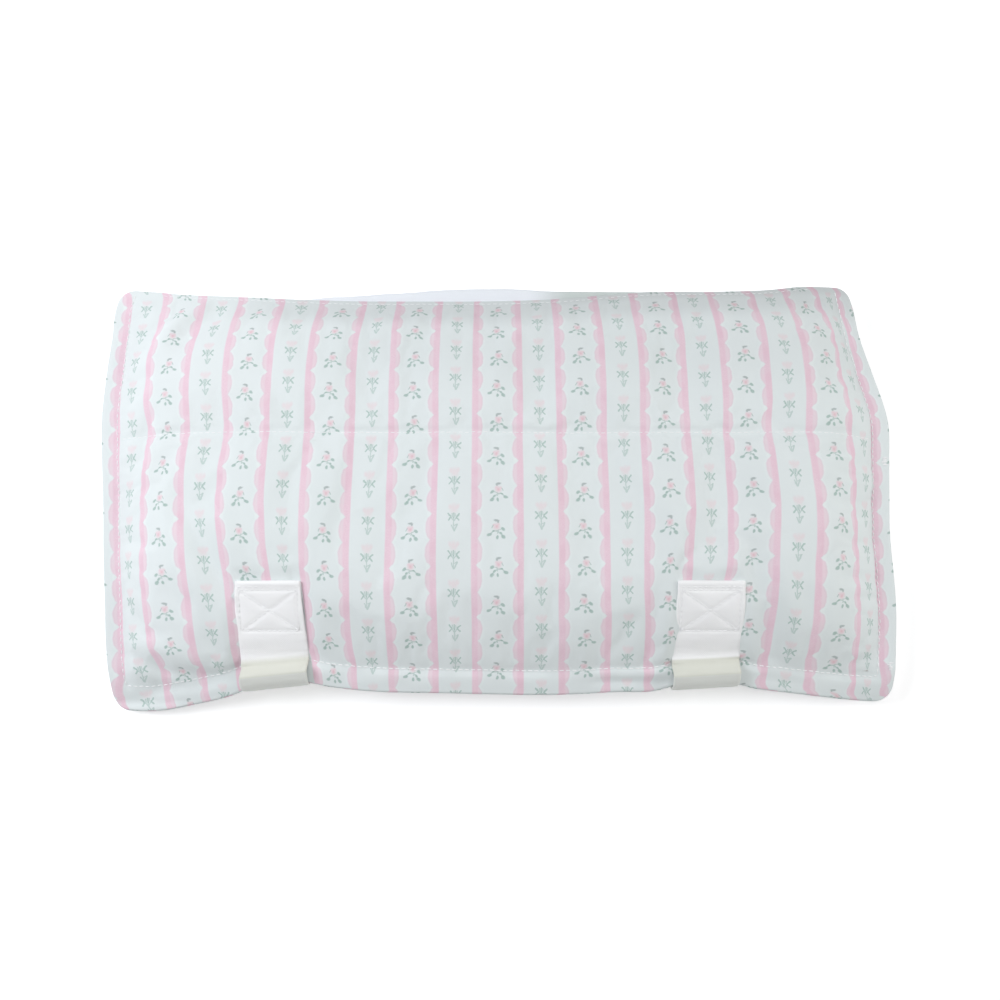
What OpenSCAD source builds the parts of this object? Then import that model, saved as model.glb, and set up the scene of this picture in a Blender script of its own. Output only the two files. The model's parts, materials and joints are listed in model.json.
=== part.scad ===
// Folding changing pad: two padded halves joined by a plain spine strip and
// held shut by two hook-and-loop straps that wrap round the near edge.
// The front half lies on top, the back half on the floor.
//
// Frame: millimetres, +Z up, origin on the floor under the middle of the folded
// pad, +X across the pad, +Y from the straps towards the spine.
// Names ending in _h are heights above the plane where the halves meet, or
// depths below it for the back half, which is built as a front half and mirrored.

/* [Pad] */
// Width of the folded pad between its side edges
pad_w = 464; // [420:2:500]
// Depth of the folded pad from the strap loops to the spine
pad_d = 246; // [226:2:270]
// Thickness of the folded pad at its crown
pad_t = 45; // [38:1:54]
// Radius of the pad's corners, seen from above
corner_r = 9; // [5:1:16]
// Width of the flat sewn margin along every edge
margin_w = 12; // [10:1:16]
// Distance of the crown behind the near edge of the cover
crown_back = 90; // [75:1:110]
// Width of the slope between the side margins and the crown
side_slope = 62; // [50:1:75]

/* [Fabric] */
// Thickness of the printed cotton cover with its backing
cover_t = 0.9; // [0.7:0.1:1.2]
// Thickness of the plain lining
lining_t = 0.8; // [0.5:0.1:1.0]
// Gap between the two linings when the pad is shut
lining_gap = 0.6; // [0.4:0.1:1.0]
// Thickness of the plain spine strip
spine_t = 0.9; // [0.7:0.1:1.2]
// Length of the spine strip at each end that is left off the side margins
spine_inset = 22; // [18:1:40]

/* [Stitching] */
// Width of a line of stitching thread
thread_w = 0.8; // [0.6:0.1:1.2]
// Distance of the perimeter topstitch from the edge
topstitch_in = 9.5; // [8:0.5:10]
// Distance of the quilting line behind the near topstitch
quilt_back = 138; // [110:1:150]
// Depth of the valley that the quilting line pulls into each half
quilt_dip = 0.8; // [0.6:0.1:1.6]

/* [Straps] */
// Width of the strap webbing
strap_w = 38; // [25:1:50]
// Thickness of the strap webbing
strap_t = 1.5; // [1.2:0.1:1.8]
// Centre of the left strap from the pad's middle
left_strap_x = -124.5; // [-150:0.5:-100]
// Centre of the right strap from the pad's middle
right_strap_x = 122.5; // [100:0.5:150]
// Distance of the tab's tip behind the near edge of the cover
tab_reach = 60.5; // [52:0.5:70]
// Length of the hook and loop patches
patch_l = 35; // [25:1:36]
// Width of the hook and loop patches
patch_w = 32; // [20:1:32]
// Thickness of each hook or loop patch
patch_t = 1.0; // [0.8:0.1:1.2]

/* [Hidden] */

$fn = 48;

print_pink = [0.965, 0.905, 0.925];
plain_white = [0.955, 0.955, 0.965];
webbing_white = [0.94, 0.94, 0.93];
thread_white = [0.98, 0.98, 0.98];
wadding_white = [0.93, 0.93, 0.91];
hook_white = [0.90, 0.91, 0.92];

// Heights of a half's layers
mid_z = pad_t / 2;
crown_h = mid_z;
cover_gap = 0.1;
lining_h = lining_gap / 2;
cover_base_h = lining_h + lining_t + cover_gap;
margin_h = cover_base_h + cover_t;
side_over = 1.5;         // how far the side profile tops out above the crown
lining_inset = 0.6;
batting_gap = 0.15;
batting_edge_gap = 1.5;  // from the sewn margin to the batting

// Near edge of the cover and the creases where the strap loop starts
loop_clear = 1.2;
near_y = -pad_d / 2 + strap_t + loop_clear;
crease_y = near_y + 5.8;
patch_gap = 0.15;        // under, between and over the two patches
hook_low = 2 * patch_gap + patch_t;
tab_low = hook_low + patch_t + patch_gap;
crease_h = margin_h + tab_low + strap_t / 2;
loop_half_d = crease_y + pad_d / 2 - strap_t / 2;
hinge_cut_r = strap_t * 0.87;

// Strap lengths on the outer faces
tab_tip_y = near_y + tab_reach;
tab_bend_y = near_y + 20.3;
base_bend_y = near_y + 16.3;
base_end_y = near_y + 38.5;
base_gap = 0.25;
patch_y = tab_tip_y - 2.5 - patch_l / 2;

// Spine and fold line
spine_gap = 0.2;
fold_gap = 1;
spine_ri = margin_h + spine_gap;
spine_ro = spine_ri + spine_t;
fold_y = pad_d / 2 - spine_ro;
far_y = fold_y - fold_gap;
spine_l = pad_w - 2 * spine_inset;
spine_lap = 10;          // reach of the strip over each half from the fold line

// Stitching
flat_stitch_gap = 0.08;
flat_stitch_t = 0.4;
topstitch_r = 3;
topstitch_end = 0.5;     // from the topstitch's ends to the far edge
spine_stitch_in = 7;     // from the fold line to the start of the spine stitch
spine_stitch_end = 3;
box_inset = 2;           // from the strap's edges and end to its stitching
box_w = strap_w - 2 * box_inset;
tab_box_l = 24;
base_box_l = 17;
loop_frame_in = 1.5;

// Start and end of the rise from the margins
rise_near_y = near_y + margin_w;
rise_far_y = far_y - margin_w;
crown_y = near_y + crown_back;
floor_run = 52;          // length of the back half's slopes at both ends

// Valley along the quilting line
quilt_y = near_y + topstitch_in + quilt_back;
valley_flat = 0.8;       // half width of its bottom
valley_slope = 3;
valley_clear = 4;        // profile stations this close to the line are dropped

// Cutting shapes
edge_over = 9;           // overrun of the profiles past the cover's edges
face_depth = 9;          // depth of the profile solids
column_depth = 8;
column_h = crown_h + 24;
batting_cut_h = 40;

// ---- profiles of the outer faces ----

function unit(t) = max(0, min(1, t));
function ease_out(t, power) = 1 - pow(1 - unit(t), power);
function steps(from, to, n) = [for (i = [0 : n]) from + (to - from) * i / n];

function valley(y) =
    quilt_dip * (1 - unit((abs(y - quilt_y) - valley_flat) / valley_slope));
function with_valley(ys) =
    let (foot = valley_flat + valley_slope)
    concat(
        [for (y = ys) if (y < quilt_y - valley_clear) y],
        [for (d = [-foot, -valley_flat, valley_flat, foot]) quilt_y + d],
        [for (y = ys) if (y > quilt_y + valley_clear) y]);

// Front half: up to the crown, then a long fall to the spine
function front_fall(t) = (1 - 0.45 * t) * (1 - pow(t, 6));
function front_rise(y) =
    y < crown_y
    ? ease_out((y - rise_near_y) / (crown_y - rise_near_y), 2.5)
    : front_fall(unit((y - crown_y) / (rise_far_y - crown_y)));

// Back half: flat on the floor, with the same slope at both ends
function back_rise(y) =
    ease_out(min(y - rise_near_y, rise_far_y - y) / floor_run, 3);

function outer_h(side, y) =
    let (rise = side == "front" ? front_rise(y) : back_rise(y))
    margin_h + (crown_h - margin_h) * rise - valley(y);

// Height of the outer face where it falls to the side margins
function side_h(x) =
    margin_h + (crown_h + side_over - margin_h)
        * ease_out((pad_w / 2 - margin_w - abs(x)) / side_slope, 2.6);

// Stations of the profiles; powers below 1 crowd them towards the far end
far_steps = 14;
function half_ys(side) = concat(
    [near_y - edge_over],
    side == "front"
    ? concat(steps(rise_near_y, crown_y, 12),
             [for (i = [1 : far_steps])
                 crown_y + (rise_far_y - crown_y) * pow(i / far_steps, 0.8)])
    : concat(steps(rise_near_y, rise_near_y + floor_run, 10),
             steps(rise_far_y - floor_run, rise_far_y, 10)),
    [far_y + edge_over]);
function side_xs() =
    let (foot = pad_w / 2 - margin_w, top = foot - side_slope)
    concat([-pad_w / 2 - edge_over], steps(-foot, -top, 9),
           steps(top, foot, 9), [pad_w / 2 + edge_over]);

// ---- shared solids ----

// Outline of the area under a line of points, down to a depth
function under_line(points, depth) =
    concat(points, [[points[len(points) - 1][0], -depth], [points[0][0], -depth]]);

// Bar along X with a YZ outline, centred on x
module bar(x, w, outline) {
    translate([x, 0, 0]) rotate([90, 0, 90])
        linear_extrude(height = w, center = true) polygon(outline);
}

module rod(x, w, y, h, r) {
    translate([x - w / 2, y, h]) rotate([0, 90, 0]) cylinder(h = w, r = r);
}

// Everything below the outer face raised by an offset, down to a depth
module under_face(side, raise, depth) {
    end_line = [for (y = with_valley(half_ys(side))) [y, outer_h(side, y) + raise]];
    side_line = [for (x = side_xs()) [x, side_h(x) + raise]];
    intersection() {
        bar(0, pad_w + 10, under_line(end_line, depth));
        rotate([90, 0, 0]) linear_extrude(height = 3 * pad_d, center = true)
            polygon(under_line(side_line, depth));
    }
}

// Upright column through a half, with a plan given as children
module column() {
    translate([0, 0, -column_depth]) linear_extrude(height = column_h) children();
}

// Layer that follows a half's outer face between two offsets, cut to a plan
module layer(side, low, high) {
    intersection() {
        difference() {
            under_face(side, high, face_depth);
            under_face(side, low, face_depth + 1);
        }
        column() children();
    }
}

// Places a front half, or turns it over to make a back half
module place(side) {
    translate([0, 0, mid_z]) mirror([0, 0, side == "front" ? 0 : 1]) children();
}

// ---- plans ----

// Rounded plan of a half
module plan(inset = 0) {
    w = pad_w - 2 * inset;
    d = far_y - near_y - 2 * inset;
    r = max(corner_r - inset, 1.5);
    translate([0, (near_y + far_y) / 2]) {
        square([w - 2 * r, d], center = true);
        square([w, d - 2 * r], center = true);
        for (sx = [-1, 1], sy = [-1, 1])
            translate([sx * (w / 2 - r), sy * (d / 2 - r)]) circle(r);
    }
}

// Area with two rounded near corners, square at the far end
module u_area(inset, r, far) {
    half_w = pad_w / 2 - inset;
    near = near_y + inset;
    translate([-half_w, near + r]) square([2 * half_w, far - near - r]);
    translate([-half_w + r, near]) square([2 * half_w - 2 * r, r + 1]);
    for (s = [-1, 1])
        translate([s * (half_w - r), near + r]) circle(r);
}

// Two side rows and a near row of stitching, which run on to the fold
module u_row(inset, w) {
    far = far_y - topstitch_end;
    difference() {
        u_area(inset, topstitch_r, far);
        u_area(inset + w, topstitch_r - w, far + 1);
    }
}

// Rectangle of stitching, l along Y
module frame_row(l, w, t) {
    difference() {
        square([w, l], center = true);
        square([w - 2 * t, l - 2 * t], center = true);
    }
}

// Rectangle of stitching with both diagonals
module crossed_box(l, w, t) {
    frame_row(l, w, t);
    angle = atan2(l - t, w - t);
    diagonal = sqrt(pow(l - t, 2) + pow(w - t, 2));
    for (s = [-1, 1])
        rotate(s * angle) square([diagonal, t], center = true);
}

// ---- padded halves ----

module cover(side) {
    place(side) layer(side, -cover_t, 0) plan();
}

module batting(side) {
    place(side) intersection() {
        difference() {
            under_face(side, -cover_t - batting_gap, face_depth);
            translate([0, 0, cover_base_h + batting_gap - batting_cut_h / 2])
                cube([2 * pad_w, 3 * pad_d, batting_cut_h], center = true);
        }
        column() plan(margin_w + batting_edge_gap);
    }
}

module lining(side) {
    place(side) translate([0, 0, lining_h])
        linear_extrude(height = lining_t) plan(lining_inset);
}

module topstitch(side) {
    place(side) translate([0, 0, margin_h + flat_stitch_gap])
        linear_extrude(height = flat_stitch_t) u_row(topstitch_in, thread_w);
}

module quilt_stitch(side) {
    place(side) layer(side, 0.12, 0.5)
        translate([0, quilt_y]) square([pad_w - 2 * margin_w - 1, thread_w], center = true);
}

module spine_stitch(side) {
    place(side)
        translate([-spine_l / 2 + spine_stitch_end, fold_y - spine_stitch_in,
                   spine_ro + flat_stitch_gap])
            cube([spine_l - 2 * spine_stitch_end, thread_w, flat_stitch_t]);
}

// ---- spine ----

// Half tube round the fold, with a flat lap over each half
module spine_wrap() {
    translate([0, fold_y, mid_z]) {
        intersection() {
            rotate([0, 90, 0]) difference() {
                cylinder(h = spine_l, r = spine_ro, center = true);
                cylinder(h = spine_l + 2, r = spine_ri, center = true);
            }
            translate([-spine_l, 0, -2 * spine_ro])
                cube([2 * spine_l, 2 * spine_ro, 4 * spine_ro]);
        }
        for (s = [0, 1])
            mirror([0, 0, s]) translate([-spine_l / 2, -spine_lap, spine_ri])
                cube([spine_l, spine_lap, spine_t]);
    }
}

// ---- straps ----
// The front strap end is the loose tab, the back one is the sewn base

function bend_y(side) = side == "front" ? tab_bend_y : base_bend_y;
function end_y(side) = side == "front" ? tab_tip_y : base_end_y;

// Height of the webbing's middle line where it follows the outer face
function lying_h(side, y) =
    outer_h(side, y) + (side == "front" ? tab_low : base_gap) + strap_t / 2;

// The same, with a straight run from the crease to the bend
function strap_h(side, y) =
    let (bend = bend_y(side))
    y >= bend
    ? lying_h(side, y)
    : crease_h + (lying_h(side, bend) - crease_h) * (y - crease_y) / (bend - crease_y);

// YZ outline between two offsets from the middle line
function strap_outline(side, low, high) =
    let (ys = concat([crease_y],
                     steps(bend_y(side), end_y(side), side == "front" ? 10 : 8)))
    concat([for (y = ys) [y, strap_h(side, y) + low]],
           [for (i = [len(ys) - 1 : -1 : 0]) [ys[i], strap_h(side, ys[i]) + high]]);

module strap_end(side, x) {
    place(side) {
        bar(x, strap_w, strap_outline(side, -strap_t / 2, strap_t / 2));
        rod(x, strap_w, crease_y, crease_h, strap_t / 2);
    }
}

module strap_stitch(side, x) {
    box_l = side == "front" ? tab_box_l : base_box_l;
    place(side) intersection() {
        bar(x, strap_w - 2, strap_outline(side, strap_t / 2 + 0.1, strap_t / 2 + 0.45));
        column() translate([x, end_y(side) - box_inset - box_l / 2])
            crossed_box(box_l, box_w, thread_w);
    }
}

// Closed outline of a band with a given thickness along a path of [y, h] points
function direction(path, i) =
    let (before = path[max(i - 1, 0)], after = path[min(i + 1, len(path) - 1)])
    (after - before) / norm(after - before);
function offset_line(path, off) =
    [for (i = [0 : len(path) - 1])
        let (along = direction(path, i)) path[i] + off * [-along[1], along[0]]];
function band(path, t) =
    let (one = offset_line(path, t / 2), other = offset_line(path, -t / 2))
    concat(one, [for (i = [len(other) - 1 : -1 : 0]) other[i]]);

// Half ellipse round the near edge, cut clear of the rods at both creases
module strap_loop(x) {
    path = [for (angle = [90 : -10 : -90])
        [crease_y - loop_half_d * cos(angle), crease_h * sin(angle)]];
    translate([0, 0, mid_z]) difference() {
        bar(x, strap_w, band(path, strap_t));
        for (s = [-1, 1])
            rod(x, strap_w + 2, crease_y, s * crease_h, hinge_cut_r);
    }
}

module patch(x, low) {
    place("front") layer("front", low, low + patch_t)
        translate([x, patch_y]) square([patch_w, patch_l], center = true);
}

module loop_stitch(x) {
    patch_top = patch_gap + patch_t;
    place("front") layer("front", patch_top + 0.02, patch_top + 0.12)
        translate([x, patch_y])
            frame_row(patch_l - 2 * loop_frame_in, patch_w - 2 * loop_frame_in, thread_w);
}

// ---- nodes ----

module front_cover() { color(print_pink) cover("front"); }
module front_batting() { color(wadding_white) batting("front"); }
module front_lining() { color(plain_white) lining("front"); }
module front_topstitch() { color(thread_white) topstitch("front"); }
module front_quilt_stitch() { color(thread_white) quilt_stitch("front"); }
module front_spine_stitch() { color(thread_white) spine_stitch("front"); }
module left_loop_patch() { color(plain_white) patch(left_strap_x, patch_gap); }
module right_loop_patch() { color(plain_white) patch(right_strap_x, patch_gap); }
module left_loop_stitch() { color(thread_white) loop_stitch(left_strap_x); }
module right_loop_stitch() { color(thread_white) loop_stitch(right_strap_x); }
module back_cover() { color(print_pink) cover("back"); }
module back_batting() { color(wadding_white) batting("back"); }
module back_lining() { color(plain_white) lining("back"); }
module back_topstitch() { color(thread_white) topstitch("back"); }
module back_quilt_stitch() { color(thread_white) quilt_stitch("back"); }
module back_spine_stitch() { color(thread_white) spine_stitch("back"); }
module spine_strip() { color(plain_white) spine_wrap(); }
module left_strap_base() { color(webbing_white) strap_end("back", left_strap_x); }
module right_strap_base() { color(webbing_white) strap_end("back", right_strap_x); }
module left_anchor_stitch() { color(thread_white) strap_stitch("back", left_strap_x); }
module right_anchor_stitch() { color(thread_white) strap_stitch("back", right_strap_x); }
module left_strap_loop() { color(webbing_white) strap_loop(left_strap_x); }
module right_strap_loop() { color(webbing_white) strap_loop(right_strap_x); }
module left_strap_tab() { color(webbing_white) strap_end("front", left_strap_x); }
module right_strap_tab() { color(webbing_white) strap_end("front", right_strap_x); }
module left_hook_patch() { color(hook_white) patch(left_strap_x, hook_low); }
module right_hook_patch() { color(hook_white) patch(right_strap_x, hook_low); }
module left_box_stitch() { color(thread_white) strap_stitch("front", left_strap_x); }
module right_box_stitch() { color(thread_white) strap_stitch("front", right_strap_x); }

front_cover();
front_batting();
front_lining();
front_topstitch();
front_quilt_stitch();
front_spine_stitch();
left_loop_patch();
right_loop_patch();
left_loop_stitch();
right_loop_stitch();
back_cover();
back_batting();
back_lining();
back_topstitch();
back_quilt_stitch();
back_spine_stitch();
spine_strip();
left_strap_base();
right_strap_base();
left_anchor_stitch();
right_anchor_stitch();
left_strap_loop();
right_strap_loop();
left_strap_tab();
right_strap_tab();
left_hook_patch();
right_hook_patch();
left_box_stitch();
right_box_stitch();
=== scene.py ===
"""A soft quilted pad of printed cotton, folded in two and held by two webbing straps.

The closed pad lies flat on the floor (+Z up). Its width runs along X, with left at -X. The fold is
at the far edge (+Y) and the straps wrap round the near edge (-Y). The front half lies on top of the
back half, and each strap ends in a hook-and-loop tab on the front cover.
"""
import json
import math
from functools import reduce

import bmesh
import bpy
import numpy as np
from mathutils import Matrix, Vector
from mathutils.bvhtree import BVHTree


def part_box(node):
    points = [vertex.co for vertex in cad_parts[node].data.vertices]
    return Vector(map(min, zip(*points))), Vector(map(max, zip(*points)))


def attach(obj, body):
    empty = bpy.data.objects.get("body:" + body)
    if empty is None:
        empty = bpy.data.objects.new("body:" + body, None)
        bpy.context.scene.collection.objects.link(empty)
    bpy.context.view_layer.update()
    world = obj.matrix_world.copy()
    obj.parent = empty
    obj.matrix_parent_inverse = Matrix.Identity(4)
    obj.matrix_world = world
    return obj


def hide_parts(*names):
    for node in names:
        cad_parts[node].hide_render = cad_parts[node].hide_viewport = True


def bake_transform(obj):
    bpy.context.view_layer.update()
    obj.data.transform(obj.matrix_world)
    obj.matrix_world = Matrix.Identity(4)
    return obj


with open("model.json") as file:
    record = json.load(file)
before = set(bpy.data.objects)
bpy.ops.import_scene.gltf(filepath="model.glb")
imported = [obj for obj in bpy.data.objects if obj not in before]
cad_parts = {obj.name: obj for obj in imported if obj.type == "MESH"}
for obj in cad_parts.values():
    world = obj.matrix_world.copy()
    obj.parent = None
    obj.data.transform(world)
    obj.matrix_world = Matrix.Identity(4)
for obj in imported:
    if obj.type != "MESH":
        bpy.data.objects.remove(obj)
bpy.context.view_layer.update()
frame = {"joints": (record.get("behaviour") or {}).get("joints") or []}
MM = 0.001

# ---------------------------------------------------------------- sizes taken from the CAD pieces


def box_mm(node):
    low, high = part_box(node)
    return np.array(low) * 1000, np.array(high) * 1000


JOINTS = {joint["name"]: joint for joint in frame["joints"]}


def joint_mm(name):
    return [c * 1000 for c in JOINTS[name]["pos_m"]]


cover_low, cover_high = box_mm("front_cover")
spine_low, spine_high = box_mm("spine_strip")
tab_low, tab_high = box_mm("left_strap_tab")
patch_low, patch_high = box_mm("left_loop_patch")

HALF_WIDTH = cover_high[0]
NEAR, FAR = cover_low[1], cover_high[1]
MID = cover_high[2] / 2                     # height where the two halves meet
FOLD_Y = joint_mm("front_fold")[1]
SWING_X, SWING_Y, SWING_Z = joint_mm("left_strap_swing")     # strap hinge, lower
_, PEEL_Y, PEEL_Z = joint_mm("left_tab_peel")                # strap hinge, upper
STRAP_X = {"left": SWING_X, "right": joint_mm("right_strap_swing")[0]}
STRAP_WIDTH = tab_high[0] - tab_low[0]
TIP_Y = tab_high[1]
BASE_FAR = box_mm("left_strap_base")[1][1]
QUILT_Y = box_mm("front_quilt_stitch")[0][1] + 0.4
MARGIN_RISE = box_mm("front_topstitch")[0][2] - MID - 0.08   # sewn margin above the meeting plane

SEAM_MARGIN = 12.0
SIDE_MARGIN = 9.6
CROWN_Y = NEAR + 90.0     # the front half is fullest here
SIDE_STITCH = 8.9         # side seams, in from the edge
NEAR_STITCH = 12.2        # near seam, in from the edge
STRIPE_X = 15.6           # where the upright stripe next to the middle is
PITCH = 24.3              # from one printed column to the next

# ---------------------------------------------------------------- numeric helpers


def ease(low, high, value):
    """Smooth step from 0 at low to 1 at high."""
    t = np.clip((np.asarray(value, float) - low) / (high - low), 0, 1)
    return t * t * (3 - 2 * t)


def bell(distance, width, power=2):
    return np.exp(-(distance / width) ** power)


def spot(x, y, center_x, center_y, radius_x, radius_y):
    return np.exp(-(((x - center_x) / radius_x) ** 2 + ((y - center_y) / radius_y) ** 2))


def swell(distance, reach, power):
    """Rounded rise from 0 at a seam to 1 at the given reach."""
    return 1 - (1 - np.clip(distance / reach, 0, 1)) ** power


def soft_interp(x, table):
    """Piecewise-linear table, softened 9 mm to each side."""
    places, values = zip(*table)
    return sum(np.interp(np.asarray(x, float) + k * 9.0, places, values)
               for k in (-1, -0.5, 0, 0.5, 1)) / 5


def noise(x, y, seed):
    """Smooth value noise in the range -1 to 1."""
    x, y = np.asarray(x, float), np.asarray(y, float)
    xi, yi = np.floor(x).astype(np.int64), np.floor(y).astype(np.int64)
    xf, yf = x - xi, y - yi
    u = xf ** 3 * (xf * (xf * 6 - 15) + 10)
    v = yf ** 3 * (yf * (yf * 6 - 15) + 10)

    def corner(i, j):
        n = (i * 374761393 + j * 668265263 + seed * 974634777) & 0xFFFFFFFF
        n = ((n ^ (n >> 13)) * 1274126177) & 0xFFFFFFFF
        n = n ^ (n >> 16)
        return (n & 0xFFFF) / 32767.5 - 1

    near = corner(xi, yi) * (1 - u) + corner(xi + 1, yi) * u
    far = corner(xi, yi + 1) * (1 - u) + corner(xi + 1, yi + 1) * u
    return near * (1 - v) + far * v


def ridge(x, y, x0, y0, x1, y1, width, height):
    """A crease (height > 0) or valley (height < 0) along a segment, fading at its ends."""
    dx, dy = x1 - x0, y1 - y0
    length = math.hypot(dx, dy)
    ux, uy = dx / length, dy / length
    along = ((x - x0) * ux + (y - y0) * uy) / length
    aside = -(x - x0) * uy + (y - y0) * ux
    fade = ease(-0.35, 0.21, along) * (1 - ease(0.79, 1.35, along))
    return height * bell(aside, width) * fade


def ridges(x, y, table):
    return sum(ridge(x, y, *row) for row in table)


def soften(values, rounds):
    """Average each entry with its neighbours; the two ends stay."""
    values = np.array(values, float)
    for _ in range(rounds):
        softer = values.copy()
        softer[1:-1] = (values[:-2] + 2 * values[1:-1] + values[2:]) / 4
        values = softer
    return values


def resample(points, count=None, step=None):
    """Even points along a path, by their number or by about a step."""
    points = np.array(points, float)
    lengths = np.linalg.norm(np.diff(points, axis=0), axis=1)
    along = np.concatenate([[0], np.cumsum(lengths)])
    if step:
        count = max(2, int(round(along[-1] / step)) + 1)
    places = np.linspace(0, along[-1], count)
    return np.stack([np.interp(places, along, column) for column in points.T], 1)


# ---------------------------------------------------------------- the pad's outline

# side edges: (y, x)
LEFT_EDGE = [
    (-135, -217), (-116, -219.8), (-97, -222.4), (-65, -224.0), (-45, -225.8), (-12, -228.4),
    (25, -232.4), (43, -233.8), (53, -233.3), (72, -232.8), (91, -231.6), (110, -231.0),
    (122, -226.5)]
RIGHT_EDGE = [
    (-135, 229.5), (-116, 231.0), (-108, 232), (-74, 234.1), (-56, 233.7), (-30, 232.8),
    (20, 236.4), (34, 237.9), (43, 237.0), (53, 234.4), (72, 229.2), (91, 224.4),
    (110, 221.3), (122, 218.0)]
# near and far edges: (x, y)
NEAR_EDGE = [
    (-232, -129.5), (-208, -130.5), (-200, -130.0), (-178, -126.0), (-158, -122.6),
    (-147, -118.8), (-140, -114.8), (-125, -113.4), (-110, -112.2), (-102, -115.4),
    (-92, -116.6), (-84, -117.6), (-64, -119.3), (-29, -119.9), (28, -121.0), (51, -120.4),
    (74, -118.9), (92, -119.6), (101, -117.4), (107, -113.8), (122, -113.2), (138, -112.8),
    (144, -116.4), (152, -117.6), (165, -118.9), (188, -121.5), (211, -123.9), (232, -125.0)]
FAR_EDGE = [
    (-232, 121.3), (-216, 121.0), (-191, 118.4), (-142, 116.2), (-118, 114.9), (-80, 113.8),
    (-44, 113.8), (-15, 113.7), (5, 114.0), (16, 114.3), (33, 114.9), (45, 115.6),
    (56, 116.6), (68, 117.7), (80, 118.7), (95, 119.6), (109, 120.2), (118, 120.3),
    (128, 119.9), (150, 120.3), (177, 121.2), (202, 124.2), (232, 122.8)]


def outline(X, Y):
    """Where a point of the plain rectangle goes on the soft pad's own outline."""
    t = (Y - NEAR) / (FAR - NEAR)
    near, far = soft_interp(X, NEAR_EDGE), soft_interp(X, FAR_EDGE)
    # an edge's waves die out over about 30% of the depth
    y = Y + (near - NEAR) * (1 - ease(0, 0.30, t)) + (far - FAR) * ease(0.72, 1, t)
    left, right = soft_interp(y, LEFT_EDGE), soft_interp(y, RIGHT_EDGE)
    s = X / HALF_WIDTH
    x = X + np.where(s < 0, left + HALF_WIDTH, right - HALF_WIDTH) * np.abs(s) ** 2.2
    return x, y


def rounded_grid(nx, ny, radius=8.0):
    """Grid over the plain rectangle, with its corners pulled in to a radius."""
    X, Y = np.meshgrid(np.linspace(-HALF_WIDTH, HALF_WIDTH, nx), np.linspace(NEAR, FAR, ny),
                       indexing="ij")
    side, near, far = HALF_WIDTH - radius, NEAR + radius, FAR - radius
    past_x = np.maximum(np.abs(X) - side, 0)
    past_y = np.maximum(np.maximum(near - Y, Y - far), 0)
    corner = (past_x > 0) & (past_y > 0)
    longest = np.maximum(np.hypot(past_x, past_y), 1e-9)
    k = np.where(corner, np.maximum(past_x, past_y) / longest, 1)
    Xr = np.where(corner, np.sign(X) * (side + past_x * k), X)
    Yr = np.where(corner, np.where(Y < 0, near - past_y * k, far + past_y * k), Y)
    return Xr, Yr


# ---------------------------------------------------------------- the pad's relief

# sagging corners: depth, x, y, radius x, radius y
CORNER_SAGS = [
    (7.5, -212, -120, 52, 46), (5.5, 214, -118, 48, 44),
    (2.6, -205, 108, 40, 34), (2.2, 205, 108, 40, 34)]

# folds: start x, y, end x, y, width, height
FRONT_FOLDS = [
    (-196, 92, -176, 112, 5.5, 2.4), (-187, 84, -165, 106, 6.5, -2.4),
    (-208, 70, -188, 96, 7, 1.2),
    (-177, -10, -150, -60, 7.0, -3.1), (-188, -14, -163, -66, 8.0, 1.5),
    (-158, -6, -141, -44, 6.0, 1.0),
    (-190, -108, -150, -117, 5.0, -3.2), (-200, -94, -152, -106, 7.0, 1.6),
    (146, -42, 158, -100, 7.5, -3.0), (160, -46, 172, -98, 7.0, 1.3),
    (121, 10, 122, -46, 10.0, -1.6), (106, 4, 104, -50, 9.0, 0.8),
    (196, 30, 214, 62, 7.0, 1.1), (176, 84, 196, 108, 6.0, -1.6),
    (196, -40, 204, -84, 9.0, -1.4), (-205, 8, -199, 44, 8.0, -1.1),
    (-107, -62, -98, -104, 6.5, -2.0), (92, -66, 90, -100, 5.5, -1.4),
    (-60, 60, -20, 66, 9.0, 0.6), (30, -70, 62, -84, 10.0, -0.8),
    (64, -110.5, 98, -110.5, 3.6, 1.8)]
BACK_FOLDS = [
    (-180, 60, -150, 96, 8, -2.0), (150, 66, 190, 92, 8, -2.0),
    (-190, -60, -160, -96, 8, -2.2), (168, -60, 190, -96, 8, -2.2),
    (-90, -74, -84, -106, 7, -1.4), (70, -74, 62, -106, 7, -1.4)]
NEAR_MARGIN_FOLDS = [
    (64, -114.6, 97, -114.4, 2.3, -2.2), (60, -109.8, 100, -110.6, 3.0, 1.0),
    (-196, -121, -150, -113.5, 3.0, -1.4), (150, -112, 178, -116, 3.0, -0.9)]


def sag(x, y):
    """How far the soft edges sag below the plane where the halves meet."""
    corners = sum(depth * spot(x, y, *place) for depth, *place in CORNER_SAGS)
    sides = 1.6 * ease(175, 228, np.abs(x))
    near_roll = 5.2 * np.clip((-106.5 - y) / 15.0, 0, 1.3) ** 1.7
    return corners + sides + near_roll


def meeting(x, y):
    """Height of the surface on which the two soft halves lie on each other."""
    inside = np.minimum(np.minimum(x + 226, 226 - x), np.minimum(y + 114, 108 - y))
    waves = noise(x / 58 + 3.1, y / 47 + 1.7, 11) + 0.5 * noise(x / 27, y / 31, 12)
    return MID - sag(x, y) * (1 - 0.6 * ease(92, 112, y)) + waves * ease(0, 34, inside)


def front_rise(X, Y):
    """Fullness of the front half: 0 at the sewn margins, 1 at its crown."""
    v = np.clip((Y - CROWN_Y) / (FAR - 1.2 - CROWN_Y), 0, 1)
    near = swell(Y - NEAR - SEAM_MARGIN, CROWN_Y - NEAR - SEAM_MARGIN, 3.0)
    far = (1 - 0.42 * v) * (1 - v ** 6.5) ** 0.80
    left = swell(X + HALF_WIDTH - SIDE_MARGIN, 70, 2.6)
    right = swell(HALF_WIDTH - SIDE_MARGIN - X, 54, 3.0)
    return np.where(Y < CROWN_Y, near, far) * left * right


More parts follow.
